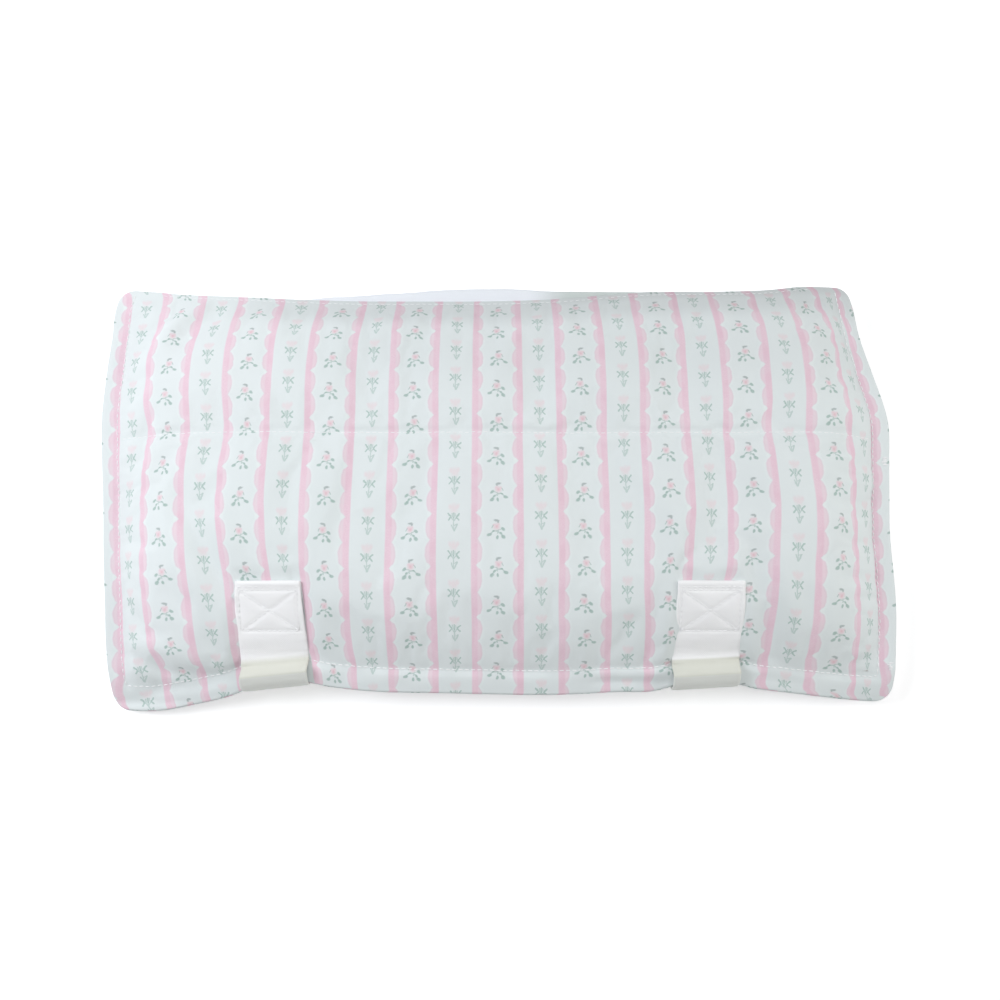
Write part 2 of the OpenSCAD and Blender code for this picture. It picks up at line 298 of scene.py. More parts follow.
def back_rise(X, Y):
    depth = swell(np.minimum(Y - NEAR - SEAM_MARGIN, FAR - SEAM_MARGIN - Y), 52, 2.8)
    return depth * swell(HALF_WIDTH - SIDE_MARGIN - np.abs(X), 62, 2.8)


def front_wrinkles(x, y):
    w = ridges(x, y, FRONT_FOLDS)
    w += 1.2 * spot(x, y, 95, -108, 7.0, 5.5) - 1.5 * spot(x, y, 86, -108, 3.0, 8.0)
    for strap_x in STRAP_X.values():
        # pressed in under the strap, swollen beside it
        under = bell(x - strap_x, 18.2, 6)
        w += -2.5 * under * ease(-117, -106, y) * (1 - ease(-63, -50, y))
        beside = bell(np.abs(x - strap_x) - 26, 6.0)
        w += 1.1 * beside * ease(-116, -104, y) * (1 - ease(-84, -58, y))
    w += 0.9 * noise(x / 64 + 9, y / 58, 3) + 0.45 * noise(x / 27 + 2, y / 30 + 5, 4)
    return w + 0.16 * noise(x / 11, y / 12, 5)


def back_wrinkles(x, y):
    w = ridges(x, y, BACK_FOLDS)
    return w + 0.7 * noise(x / 60 + 4, y / 55 + 2, 23) + 0.35 * noise(x / 25, y / 28, 24)


def near_margin_folds(x, y):
    """Creases in the sewn margin of the near edge."""
    crumple = 0.55 * noise(x / 13.0, y / 9.0, 61) * (1 - ease(-110, -100, y))
    return ridges(x, y, NEAR_MARGIN_FOLDS) + crumple


# ---------------------------------------------------------------- mesh helpers


def make_object(name, points_mm, faces):
    mesh = bpy.data.meshes.new(name)
    mesh.from_pydata([tuple(p) for p in np.asarray(points_mm, float) * MM], [],
                     [tuple(int(i) for i in face) for face in faces])
    mesh.validate()
    mesh.update()
    mesh.polygons.foreach_set("use_smooth", np.ones(len(mesh.polygons), bool))
    ob = bpy.data.objects.new(name, mesh)
    bpy.context.scene.collection.objects.link(ob)
    return ob


def point_attribute(ob, name, values):
    values = np.asarray(values, np.float32)
    kind, field = ("FLOAT", "value") if values.ndim == 1 else ("FLOAT_VECTOR", "vector")
    attribute = ob.data.attributes.new(name, kind, "POINT")
    attribute.data.foreach_set(field, values.ravel())


def recalc_normals(ob):
    bm = bmesh.new()
    bm.from_mesh(ob.data)
    bmesh.ops.recalc_face_normals(bm, faces=bm.faces)
    bm.to_mesh(ob.data)
    bm.free()


def grid_faces(nx, ny):
    i, j = np.meshgrid(np.arange(nx - 1), np.arange(ny - 1), indexing="ij")
    a = (i * ny + j).ravel()
    return np.stack([a, a + ny, a + ny + 1, a + 1], 1)


def grid_border(nx, ny):
    """Indices round a grid, anticlockwise seen from above."""
    border = [i * ny for i in range(nx)]
    border += [(nx - 1) * ny + j for j in range(1, ny)]
    border += [i * ny + ny - 1 for i in range(nx - 2, -1, -1)]
    border += list(range(ny - 2, 0, -1))
    return np.array(border)


def shell_faces(faces, rim, count, turn):
    """Two skins of count points each, joined along a rim; turned over when turn < 0."""
    after = np.roll(rim, -1)
    lip = np.stack([rim, rim + count, after + count, after], 1)
    faces = np.concatenate([faces, faces[:, ::-1] + count, lip])
    return faces[:, ::-1] if turn < 0 else faces


def vertex_normals(points, faces):
    a, b, c, d = (points[faces[:, k]] for k in range(4))
    face_normals = np.cross(c - a, d - b)
    normals = np.zeros_like(points)
    for k in range(4):
        np.add.at(normals, faces[:, k], face_normals)
    return normals / np.maximum(np.linalg.norm(normals, axis=1, keepdims=True), 1e-12)


def thick_sheet(name, points, print_mm, turn, thickness, radius, steps=4):
    """A fabric sheet from a grid of points, with its edge rolled under and a second skin.

    turn is 1 for a sheet that faces up, whose edge rolls down, and -1 for the opposite.
    """
    nx, ny = points.shape[:2]
    points, print_mm = points.reshape(-1, 3), print_mm.reshape(-1, 3)
    border = grid_border(nx, ny)
    edge, edge_print = points[border], print_mm[border]
    tangent = (np.roll(edge, -1, 0) - np.roll(edge, 1, 0))[:, :2]
    tangent /= np.maximum(np.linalg.norm(tangent, axis=1, keepdims=True), 1e-9)
    outward = np.stack([tangent[:, 1], -tangent[:, 0]], 1)
    for _ in range(3):
        outward = (np.roll(outward, 1, 0) + 2 * outward + np.roll(outward, -1, 0)) / 4
        outward /= np.linalg.norm(outward, axis=1, keepdims=True)
    skin, prints, faces, ring = [points], [print_mm], [grid_faces(nx, ny)], border
    for step in range(1, steps + 1):
        angle = math.pi * step / steps
        rolled = edge.copy()
        rolled[:, :2] += outward * radius * math.sin(angle)
        rolled[:, 2] -= turn * radius * (1 - math.cos(angle))
        skin.append(rolled)
        moved = edge_print[:, :2] + outward * radius * angle
        prints.append(np.concatenate([moved, edge_print[:, 2:]], 1))
        new = len(points) + (step - 1) * len(border) + np.arange(len(border))
        faces.append(np.stack([ring, new, np.roll(new, -1), np.roll(ring, -1)], 1))
        ring = new
    skin, prints, faces = np.concatenate(skin), np.concatenate(prints), np.concatenate(faces)
    second = skin - vertex_normals(skin, faces) * thickness
    ob = make_object(name, np.concatenate([skin, second]),
                     shell_faces(faces, ring, len(skin), turn))
    point_attribute(ob, "print_mm", np.concatenate([prints, prints]))
    return ob


def tube_sides(sections, sides, base=0):
    return [(base + i * sides + k, base + i * sides + (k + 1) % sides,
             base + (i + 1) * sides + (k + 1) % sides, base + (i + 1) * sides + k)
            for i in range(sections - 1) for k in range(sides)]


def tube_ends(sections, sides, base=0):
    last = base + (sections - 1) * sides
    return [tuple(range(base + sides - 1, base - 1, -1)), tuple(range(last, last + sides))]


def simulate_cloth(points, pin, pressure, cap, frames):
    """Settle a grid of points as cloth, pinned by weight; no point moves more than cap."""
    nx, ny = points.shape[:2]
    start = points.reshape(-1, 3)
    ob = make_object("sim_sheet", start, grid_faces(nx, ny))
    group = ob.vertex_groups.new(name="pin")
    weights = np.round(pin.ravel(), 2)
    for weight in np.unique(weights):
        if weight > 0:
            group.add([int(i) for i in np.nonzero(weights == weight)[0]], float(weight),
                      "REPLACE")
    cloth = ob.modifiers.new("Cloth", "CLOTH")
    settings = dict(
        quality=5, mass=0.25, tension_stiffness=18, compression_stiffness=14,
        shear_stiffness=6, bending_stiffness=0.35, tension_damping=8, compression_damping=8,
        shear_damping=8, air_damping=4, vertex_group_mass="pin", pin_stiffness=1.0,
        shrink_min=-0.012, use_pressure=True, uniform_pressure_force=pressure)
    for setting, value in settings.items():
        setattr(cloth.settings, setting, value)
    cloth.settings.effector_weights.gravity = 0
    cloth.collision_settings.use_collision = False
    cloth.collision_settings.use_self_collision = False
    cloth.point_cache.frame_start = 1
    cloth.point_cache.frame_end = frames
    scene = bpy.context.scene
    for number in range(1, frames + 1):
        scene.frame_set(number)
    settled = ob.evaluated_get(bpy.context.evaluated_depsgraph_get())
    mesh = settled.to_mesh()
    result = np.zeros(len(mesh.vertices) * 3)
    mesh.vertices.foreach_get("co", result)
    settled.to_mesh_clear()
    bpy.data.objects.remove(ob, do_unlink=True)
    scene.frame_set(1)
    move = result.reshape(-1, 3) / MM - start
    # a simulation that blew up leaves the sheet as it was laid
    if not np.isfinite(move).all():
        return points
    length = np.linalg.norm(move, axis=1, keepdims=True)
    return (start + move * np.minimum(1, cap / np.maximum(length, 1e-9))).reshape(nx, ny, 3)


# ---------------------------------------------------------------- covers

NX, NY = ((241, 133))
GX, GY = rounded_grid(NX, NY)         # the plain rectangle
WX, WY = outline(GX, GY)              # the same points on the soft outline
MEET = meeting(WX, WY)
# distance in from the sewn edges, shifted at the near edge so that all seams are at SIDE_STITCH
EDGE_IN = np.minimum(np.minimum(GX + HALF_WIDTH, HALF_WIDTH - GX),
                     GY - NEAR - (NEAR_STITCH - SIDE_STITCH))
SEAM_PIN = np.maximum(1 - ease(SIDE_STITCH - 1, SIDE_STITCH + 9, EDGE_IN),
                      1 - ease(1.5, 9, FAR - GY))
FROM_QUILT = np.abs(GY - QUILT_Y)
QUILT_PIN = 0.9 * (FROM_QUILT < 1.2)
QUILT_GROOVE = bell(GY - QUILT_Y, 4.2) * ease(8, 26, EDGE_IN)
SEAM_GROOVE = 0.55 * bell(EDGE_IN - SIDE_STITCH, 1.9)
QUILT_ROW = int(np.argmin(np.abs(GY[0] - QUILT_Y)))
MIDDLE_COLUMN = NX // 2


def puckers(seed):
    """Gathers that run away from each seam."""

    def gathers(along, distance, wave, height, reach, seed):
        folds = noise(along / wave, distance / 55.0, seed)
        folds = folds + 0.55 * noise(along / (wave * 0.47), distance / 40.0, seed + 1)
        patchy = 0.45 + 0.55 * (noise(along / 70.0, 0.3, seed + 2) + 1) / 2
        fade = np.exp(-np.abs(distance) / reach) * ease(-9, 1, distance)
        return height * folds * patchy * fade

    near = GY - NEAR - NEAR_STITCH
    for strap_x in STRAP_X.values():
        near = near + 60 * bell(WX - strap_x, 21, 8)     # none under the straps
    left = GX + HALF_WIDTH - SIDE_STITCH
    right = HALF_WIDTH - SIDE_STITCH - GX
    far = FAR - 3 - GY
    out = gathers(WX, near, wave=12.5, height=1.35, reach=20, seed=seed)
    out = out + gathers(WY, left, wave=11.0, height=1.0, reach=17, seed=seed + 10)
    out = out + gathers(WY, right, wave=11.0, height=1.0, reach=17, seed=seed + 20)
    far_row = gathers(WX, far, wave=15.0, height=0.9, reach=24, seed=seed + 30)
    out = out + far_row * ease(-1, 14, far)
    quilt = noise(WX / 9.5, (GY - QUILT_Y) / 26.0 + 7, seed + 40)
    out = out + 0.42 * quilt * np.exp(-FROM_QUILT / 8.5) * ease(0, 2.2, FROM_QUILT)
    return out * ease(-1, 6, EDGE_IN - SIDE_STITCH + 6)


def front_cover_points():
    """The front cover as it is laid, and as it settles."""
    rise = front_rise(GX, GY)
    z = MEET + MARGIN_RISE - 0.1 + (MID - MARGIN_RISE) * rise
    z = z + ease(0, 0.16, rise) * front_wrinkles(WX, WY) + puckers(31)
    z = z - 1.1 * QUILT_GROOVE - SEAM_GROOVE * ease(0, 1, FAR - GY)
    laid = np.stack([WX, WY, z], 2)
    points = laid.copy()
    points = simulate_cloth(points, np.maximum(SEAM_PIN, QUILT_PIN),
                            pressure=1.1, cap=2.6, frames=14)
    points[..., 2] += near_margin_folds(points[..., 0], points[..., 1])
    # no point sinks far below the sewn margin
    points[..., 2] = np.maximum(points[..., 2], MEET + MARGIN_RISE - 1.5)
    return points, laid


def back_cover_points(low=0.35):
    """The back cover, which faces down and rests near the floor at height low."""
    rise = back_rise(GX, GY)
    margin_z = MEET - MARGIN_RISE + 0.1
    free = ease(0, 0.16, rise) * (1 - ease(0.86, 0.99, rise))
    z = margin_z - (margin_z - low) * rise - free * back_wrinkles(WX, WY)
    z = z - puckers(71) * (1 - ease(0.8, 0.97, rise)) + 1.3 * QUILT_GROOVE + SEAM_GROOVE
    points = np.stack([WX, WY, z], 2)
    pin = np.maximum(np.maximum(SEAM_PIN, QUILT_PIN), 0.92 * ease(0.9, 0.97, rise))
    upside_down = np.array([1, 1, -1.0])
    points = simulate_cloth(points * upside_down, pin,
                            pressure=0.9, cap=2.2, frames=12) * upside_down
    x, y, z = np.moveaxis(points, 2, 0)
    floor_z = low - 0.05 + 0.25 * (1 + noise(x / 9, y / 9, 8)) / 2
    points[..., 2] = np.clip(z, floor_z, MEET - MARGIN_RISE + 0.9)
    return points


# How far (mm) the print is pulled sideways on the front: the places along X, then rows of
# (y, pull at each place) from far to near
PULL_X = [-232, -214, -197, -177, -155, -130, -105, -82, -58, 0, 58, 111, 134, 158, 182, 204,
          219, 236]
PULL = [
    (118, [3, 3, 4, 2, 2, 1, 3.5, 3.5, 1.5, 0, -2, -2, -3, -2.5, -5, -13, -26, -30]),
    (109, [3, 3, 4, 2, 2, 1, 3.5, 3.5, 1.5, 0, -2, -2, -3, -2.5, -4.5, -11, -23, -27]),
    (97, [-1, -1, 0, 0, 0, 0, 1, 1.5, 0, 0, -0.5, -1, -1, -1, -1, 0.5, -14, -20]),
    (85, [-1, -1, -0.5, -1, -0.5, -0.5, 0, 0, 0, 0, 0, 0, 0, 0, -0.5, 2.8, -11, -14]),
    (60, [-2, -2, -0.5, -1, -0.5, -1, -0.5, -1, 0, 0, 0.5, 0.5, 0.5, 0, 0, 2.8, -4.4, -5]),
    (47, [-1.5, -1.5, 0, 0, 0.5, -1, 0, 0, 0, 0, 0.5, 0, 0.5, 0, -0.5, 2.4, 0, 0]),
    (33, [-2.2, 1.6, 2.0, 0.9, 1.8, -0.6, 0, -0.1, 0, 0, 0.5, 0.1, -0.4, -1.5, -1.9, 2.0, 0, 0]),
    (-15, [0, 0, 0, 0.5, 0.8, -0.5, 0, -0.5, 0, 0, 0.5, 0.5, 0, 0, 0, 3.6, 0, 0]),
    (-27, [0, 0, 0.5, 2.7, 2.7, 1, 0, -0.5, 0, 0, 0.5, 0, -1, -1, -1, 3.4, 0, 0]),
    (-39, [1.3, 1.3, 1.3, 3.9, 4.5, 2, 0.5, -0.5, 0, 0, 0.5, -1.5, -1.2, -2.5, -1, 3, -1, -1]),
    (-52, [3, 3, 2, 5.5, 6.7, 5.4, 1, 0, 0, 0, 0.5, -2.6, -3.7, -2.6, -2, 3, -1.5, -1.5]),
    (-65, [3.4, 5.0, 4.0, 7, 8, 6.5, 3, 0.5, 0, 0, 0, -2.6, -6.3, -3, -2, 2.5, -1, -1]),
    (-88, [4.6, 6.6, 6.5, 8, 9.7, 8, 3.9, 0, 1, 0, 1, 0, -4.5, -3.5, -1.5, 3.2, -1.7, -2]),
    (-98, [4.7, 7.8, 10.3, 9.6, 9.2, 8, 4.3, 1, 1, 0, 1, 0.5, -4.2, -2.6, -1.2, 3.4, -3.4, -4]),
    (-108, [5, 7, 12, 12, 10, 9, 8, 3, 1, 0, 1.5, 0.5, -7, -5.4, -1.8, 4, -3.8, -5]),
    (-128, [5, 7, 13, 12.5, 11, 10, 9, 4, 1.5, 0, 1.5, 0.5, -8, -7, -3.5, 1, -6, -6])]
# the print's shift along Y towards the far edge: y, shift
FAR_SHIFT_Y, FAR_SHIFT = [58, 82, 99, 108, 122], [0, 2.0, 5.4, 9.4, 13.0]


def pull_at(x, y, blur=7.0):
    """Bilinear reading of PULL, softened over the blur distance."""
    rows = np.array([row[0] for row in PULL][::-1], float)
    values = np.array([row[1] for row in PULL][::-1], float)
    out = 0
    for dx, dy in ((0, 0), (blur, 0), (-blur, 0), (0, blur), (0, -blur)):
        column = np.interp(x + dx, PULL_X, np.arange(len(PULL_X)))
        row = np.interp(y + dy, rows, np.arange(len(rows)))
        i = np.clip(column.astype(int), 0, len(PULL_X) - 2)
        j = np.clip(row.astype(int), 0, len(rows) - 2)
        a, b = column - i, row - j
        near = values[j, i] * (1 - a) + values[j, i + 1] * a
        far = values[j + 1, i] * (1 - a) + values[j + 1, i + 1] * a
        out = out + near * (1 - b) + far * b
    return out / 5


def arc_lengths(points):
    """Distances along the cloth from its middle column and from its quilted row."""
    across = np.linalg.norm(np.diff(points, axis=0), axis=2)
    u = np.concatenate([np.zeros((1, NY)), np.cumsum(across, 0)])
    along = np.linalg.norm(np.diff(points, axis=1), axis=2)
    v = np.concatenate([np.zeros((NX, 1)), np.cumsum(along, 1)], 1)
    return u - u[MIDDLE_COLUMN], v - v[:, [QUILT_ROW]]


def cover_print(points):
    u, v = arc_lengths(points)
    for _ in range(2):
        u = (np.roll(u, 1, 1) + 2 * u + np.roll(u, -1, 1)) / 4
    return u + points[MIDDLE_COLUMN, :, 0] - STRIPE_X, v


def front_print(points):
    """Print coordinates of the front cover, pulled out of true, with painted shade towards the far
    edge as the third value.
    """
    u, v = cover_print(points)
    x, y = points[..., 0], points[..., 1]
    u = u - pull_at(x, y)
    v = v - 0.0206 * x - 2.6 * (1 - ease(-112, -66, y)) + np.interp(y, FAR_SHIFT_Y, FAR_SHIFT)
    v = v - 4.5 * bell(x - 147, 15) * (1 - ease(-62, -28, y)) - 1.5 * (1 - ease(30, 78, y))
    # painted shade, darkest along the far edge and its rim right of the middle, lighter on the far
    # slope
    painted_shade = 0.13 * ease(FAR - 24, FAR - 9, GY) * ease(-185, -110, x)
    painted_shade = painted_shade + 0.08 * ease(FAR - 7, FAR - 1.5, GY) * ease(10, 70, x)
    painted_shade = painted_shade + 0.055 * ease(42, 78, GY) * ease(-150, -50, x)
    return np.stack([u, v, painted_shade], 2)


def back_print(points):
    u, v = cover_print(points)
    return np.stack([u, v + 7.0, np.zeros_like(u)], 2)


class Surface:
    """A grid of points read by plan position; up is 1 to read it from above, -1 from below."""

    def __init__(self, points, up):
        self.up = up
        nx, ny = points.shape[:2]
        self.tree = BVHTree.FromPolygons([Vector(p) for p in points.reshape(-1, 3)],
                                         [tuple(int(i) for i in f) for f in grid_faces(nx, ny)])

    def cast(self, x, y):
        return self.tree.ray_cast(Vector((x, y, 200.0 * self.up)), Vector((0, 0, -self.up)))

    def height(self, x, y):
        hit = self.cast(x, y)
        return hit[0].z if hit[0] else MID

    def heights(self, xs, ys):
        return np.array([[self.height(x, y) for x, y in zip(*rows)] for rows in zip(xs, ys)])

    def normal(self, x, y):
        hit = self.cast(x, y)
        normal = hit[1] if hit[0] else Vector((0, 0, self.up))
        return normal if normal.z * self.up > 0 else -normal

    def flat_normal(self, x, y):
        return Vector((0, 0, self.up))


UP = {"front": 1, "back": -1}        # which way each half's cover faces
pieces = {}

front_points, front_laid = front_cover_points()
cover_points = {"front": front_points, "back": back_cover_points()}
cover_prints = {"front": front_print(front_laid), "back": back_print(cover_points["back"])}
for half, up in UP.items():
    pieces[half, "cover"] = thick_sheet(
        f"{half}_cover_cloth", cover_points[half], cover_prints[half], turn=up,
        thickness=0.5, radius=0.8)
covers = {half: Surface(cover_points[half], up) for half, up in UP.items()}
front = covers["front"]

# ---------------------------------------------------------------- linings and wadding


def build_lining(half, up, inset=1.1):
    # quilting relief that leaves the two linings clear of each other
    relief = 0.16 * noise(WX / 9, GY / 30, 90 + up) * np.exp(-FROM_QUILT / 10)
    relief = relief + 0.12 * noise(WX / 14, WY / 14, 95)
    relief = relief + 0.22 * bell(EDGE_IN - SIDE_STITCH, 1.4) + 0.3 * bell(FROM_QUILT, 1.6)
    z = MEET + up * 0.35 + up * np.maximum(relief, -0.1)
    x = WX - np.sign(GX) * inset * np.abs(GX / HALF_WIDTH) ** 8
    t = (GY - NEAR) / (FAR - NEAR) * 2 - 1
    y = WY - np.sign(t) * inset * np.abs(t) ** 8
    points = np.stack([x, y, z], 2)
    u, v = arc_lengths(points)
    ob = thick_sheet(f"{half}_lining_cloth", points, np.stack([u, v, np.zeros_like(u)], 2),
                     turn=-up, thickness=0.35, radius=0.42, steps=3)
    return ob, Surface(points, -up)


def build_wadding(half, up, inset=15):
    """Fibre wadding between a cover and its lining, with a soft lumpy surface."""
    nx, ny = 121, 67
    side, near, far = HALF_WIDTH - inset, NEAR + inset, FAR - inset
    X, Y = np.meshgrid(np.linspace(-side, side, nx), np.linspace(near, far, ny), indexing="ij")
    x, y = outline(X, Y)
    inner = meeting(x, y) + up * 1.5
    fuzz = 0.5 * noise(x / 3.1, y / 3.1, 51 + up) + 0.45 * noise(x / 1.7, y / 6.0, 52)
    fuzz = fuzz + 0.6 * noise(x / 9, y / 9, 53)
    outer = covers[half].heights(x, y) - up * (1.9 + 0.5 * (fuzz + 1))
    outer = np.where(up * (outer - inner) < 0.5, inner + up * 0.5, outer)
    edge_in = np.minimum(np.minimum(X + side, side - X), np.minimum(Y - near, far - Y))
    outer = inner + (outer - inner) * (0.12 + 0.88 * ease(-0.1, 7, edge_in))
    skins = [np.stack([x, y, z], 2).reshape(-1, 3) for z in (outer, inner)]
    return make_object(f"{half}_wadding", np.concatenate(skins),
                       shell_faces(grid_faces(nx, ny), grid_border(nx, ny), nx * ny, up))


linings = {}
for half, up in UP.items():
    pieces[half, "lining"], linings[half] = build_lining(half, up)
for half, up in UP.items():
    pieces[half, "wadding"] = build_wadding(half, up)

# ---------------------------------------------------------------- stitches

STITCH_SIDES = 6
# one stitch: place along it, share of its radius, rise as a share of 0.9 radius
STITCH_PROFILE = np.array([
    (0.0, 0.30, -1.0), (0.10, 0.78, -0.25), (0.30, 1.0, 0.15), (0.5, 1.0, 0.25),
    (0.70, 1.0, 0.15), (0.90, 0.78, -0.25), (1.0, 0.30, -1.0)])


def stitch_points(start, end, normal, radius):
    """A short rounded length of thread, a little flat, that dips in at both ends."""
    start, along, normal = np.array(start), np.array(end) - start, np.array(normal, float)
    length = np.linalg.norm(along)
    along /= max(length, 1e-9)
    normal = normal - along * (normal @ along)
    normal /= max(np.linalg.norm(normal), 1e-9)
    side = np.cross(along, normal)
    place, share, rise = STITCH_PROFILE.T[..., None, None]
    center = start + along * length * place + normal * (radius * rise * 0.9)
    angle = (2 * math.pi * np.arange(STITCH_SIDES) / STITCH_SIDES)[:, None]
    ring = side * np.cos(angle) + normal * np.sin(angle) * 0.75
    return (center + ring * radius * share).reshape(-1, 3)


def stitch_object(name, stitches, radius, seed=1):
    """stitches: a list of (start, end, normal)."""
    rng = np.random.RandomState(seed)
    points, faces, sections = [], [], len(STITCH_PROFILE)
    for index, stitch in enumerate(stitches):
        base = index * sections * STITCH_SIDES
        points.append(stitch_points(*stitch, radius * (0.94 + 0.12 * rng.rand())))
        faces += tube_sides(sections, STITCH_SIDES, base)
        faces += tube_ends(sections, STITCH_SIDES, base)
    return make_object(name, np.concatenate(points), faces)


def stitch_row(path, height, normal, lift, seed, length=2.7, gap=0.9):
    """Stitches along a plan path on a surface given by its height and normal functions."""
    rng = np.random.RandomState(seed)
    points = resample(path, step=length + gap)
    out = []
    for a, b in zip(points[:-1], points[1:]):
        ahead = (b - a) / max(np.linalg.norm(b - a), 1e-9)
        side = np.array([-ahead[1], ahead[0]])
        wander = rng.randn(2) * 0.12
        start = a + ahead * gap / 2 + side * wander[0]
        end = b - ahead * gap / 2 + side * wander[1]
        n = np.array(normal(*((start + end) / 2)))
        out.append((np.array([*start, height(*start)]) + n * lift,
                    np.array([*end, height(*end)]) + n * lift, n))
    return out


def on_outline(*legs):
    """A path of straight legs (start, end, number of points), moved to the soft outline."""
    parts = [np.linspace(*leg)[1 if k else 0:] for k, leg in enumerate(legs)]
    path = np.concatenate(parts)
    return np.stack(outline(path[:, 0], path[:, 1]), 1)


seam_x, seam_near, seam_far = HALF_WIDTH - SIDE_STITCH, NEAR + NEAR_STITCH, FAR - 2.0
SEAM_PATH = on_outline(((-seam_x, seam_far), (-seam_x, seam_near), 60),
                       ((-seam_x, seam_near), (seam_x, seam_near), 110),
                       ((seam_x, seam_near), (seam_x, seam_far), 60))
quilt_x = HALF_WIDTH - SEAM_MARGIN
QUILT_PATH = on_outline(((-quilt_x, QUILT_Y), (quilt_x, QUILT_Y), 120))
SPINE_PATH = on_outline(((-205, FAR - 1.6), (205, FAR - 1.6), 120))

# half, row, path, lift, thread radius, seed
COVER_ROWS = [
    ("front", "topstitch", SEAM_PATH, 0.06, 0.27, 3),
    ("back", "topstitch", SEAM_PATH, 0.12, 0.33, 4),
    ("front", "quilt", QUILT_PATH, 0.0, 0.2, 5),
    ("back", "quilt", QUILT_PATH, 0.06, 0.27, 6),
    ("front", "spine", SPINE_PATH, -0.02, 0.14, 7),
    ("back", "spine", SPINE_PATH, 0.05, 0.22, 8)]
for half, row, path, lift, radius, seed in COVER_ROWS:
    stitches = stitch_row(path, covers[half].height, covers[half].normal, lift, seed)
    pieces[half, row] = stitch_object(f"{half}_{row}_thread", stitches, radius)


def lining_rows(half, seed):
    """The underside of the seam and quilting rows, on the lining."""
    lining = linings[half]
    stitches = []
    for k, path in enumerate((SEAM_PATH, QUILT_PATH)):
        stitches += stitch_row(path, lining.height, lining.flat_normal, -0.02, seed + k)
    return stitch_object(f"{half}_lining_thread", stitches, 0.2, seed)


for half, seed in (("front", 21), ("back", 25)):
    pieces[half, "lining_rows"] = lining_rows(half, seed)


def build_edge_tacks():
    """Loose thread ends at two places on the right-hand edge."""
    rng = np.random.RandomState(5)
    out = []
    for middle_y in (14.0, -106.0):
        edge_x = float(soft_interp(middle_y, RIGHT_EDGE)) - 0.6
        for k in range(9):
            y = middle_y + (k - 4) * 0.55
            z = front.height(edge_x - 1.5, y)
            start = np.array([edge_x - 3.2 + 0.4 * rng.randn(), y + 0.15 * rng.randn(),
                              z + 0.35])
            end = np.array([edge_x + 1.0 + 0.3 * rng.randn(), y + 0.5 + 0.2 * rng.randn(),
                            z - 0.6 + 0.3 * rng.randn()])
            out.append((start, end, np.array([0.5, 0, 0.85])))
    return stitch_object("front_edge_tacks", out, radius=0.28, seed=9)


edge_tacks = build_edge_tacks()

# ---------------------------------------------------------------- spine strip

# how far the strip bulges past the covers' far edge: (x, bulge)
SPINE_BULGE = [
    (-126, 0), (-112, 1.0), (-90, 3.6), (-70, 5.0), (-44, 7.0), (-20, 8.4), (5, 9.0),
    (18, 8.0), (33, 6.2), (45, 5.2), (56, 4.0), (68, 2.9), (80, 1.9), (95, 0.9),
    (109, 0.2), (118, 0.0)]


def build_spine(nx=161, na=25, thickness=0.4):
    """A strip round the fold: a half-round section whose ends tuck in between the covers."""
    x = np.linspace(spine_low[0] + 1, spine_high[0] - 1, nx)[:, None]
    angle = np.linspace(-math.pi / 2, math.pi / 2, na)[None]
    cover_far = soft_interp(x, FAR_EDGE)
    outermost = cover_far + 0.6 + soft_interp(x, SPINE_BULGE) + 0.2 * noise(x / 17, 0.0, 61)
    root = cover_far - 6.0
    cosine = np.cos(angle)
    t = np.where(cosine > 1e-6, np.abs(cosine), 0) ** 0.75   # 0 at the root, 1 outermost
    y = root + (outermost - root) * t
    past = np.maximum(0.0, y - cover_far - 0.2)
    half_height = 0.7 + 1.9 * (1 - bell(past, 3.2, 1.6))
    closing = np.where(t > 0.05, np.sqrt(np.maximum(0.0, 1 - t ** 6)), 1.0)
    ripple = 0.22 * noise(x / 7.5, angle * 1.1 + 5, 62) * t
    z = meeting(x, 112.0) + np.where(angle > 0, 1, -1) * half_height * closing + ripple
    x, angle = np.broadcast_arrays(x, angle)
    outer = np.stack([x, y, z], 2).reshape(-1, 3)
    print_mm = np.stack([x, angle * 6, 0 * x], 2).reshape(-1, 3)
    faces = grid_faces(nx, na)[:, ::-1]
    inner = outer - vertex_normals(outer, faces) * thickness
    count, border = len(outer), grid_border(nx, na)
    after = np.roll(border, -1)
    lip = np.stack([border, after, after + count, border + count], 1)
    ob = make_object("spine_strip_cloth", np.concatenate([outer, inner]),
                     np.concatenate([faces, faces[:, ::-1] + count, lip]))
    recalc_normals(ob)
    point_attribute(ob, "print_mm", np.concatenate([print_mm, print_mm]))
    return ob


spine = build_spine()

# ---------------------------------------------------------------- straps

LOOP_NEAR = -117.7              # y of the strap's bend round the near edge
WEB_THICKNESS = 1.25
WEB_SKIN = 0.62                 # from the middle of the webbing to its face
BOX_IN = 2.6                    # box stitching, in from the webbing's edge
BOX_FAR, BOX_NEAR = TIP_Y - 4.8, TIP_Y - 26.6
HEM_STITCH_Y = TIP_Y - 3.2
ANCHOR_FAR = BASE_FAR - 2.2
ANCHOR_NEAR = ANCHOR_FAR - 16
PATCH_WIDTH = 32.0
PATCH_NEAR, PATCH_FAR = patch_low[1], patch_high[1]
HOOK_NEAR, HOOK_FAR = PATCH_NEAR + 0.4, TIP_Y - 10.5

# widths at the tip, in the middle and at the bend; skew and sideways lean towards the bend;
# fade is half the length over which the painted shade of the webbing changes
STRAP_LOOKS = {
    "left": dict(seed=5, tip=36.4, middle=37.8, bend=37.8, slant=1.9, lean=1.8, fade=2.6),
    "right": dict(seed=9, tip=37.3, middle=38.4, bend=38.0, slant=1.1, lean=-0.8, fade=0.7)}

# one hook: (shift along Y, height, radius) up to its tip
HOOK_PROFILE = [(0, 0.02, 0.26), (0, -0.28, 0.17), (0.06, -0.46, 0.16), (0.2, -0.54, 0.15),
                (0.34, -0.46, 0.12)]


def frame_lines(x, half, near, far):
    corners = [(x - half, far), (x + half, far), (x + half, near), (x - half, near)]
    return list(zip(corners, corners[1:] + corners[:1]))


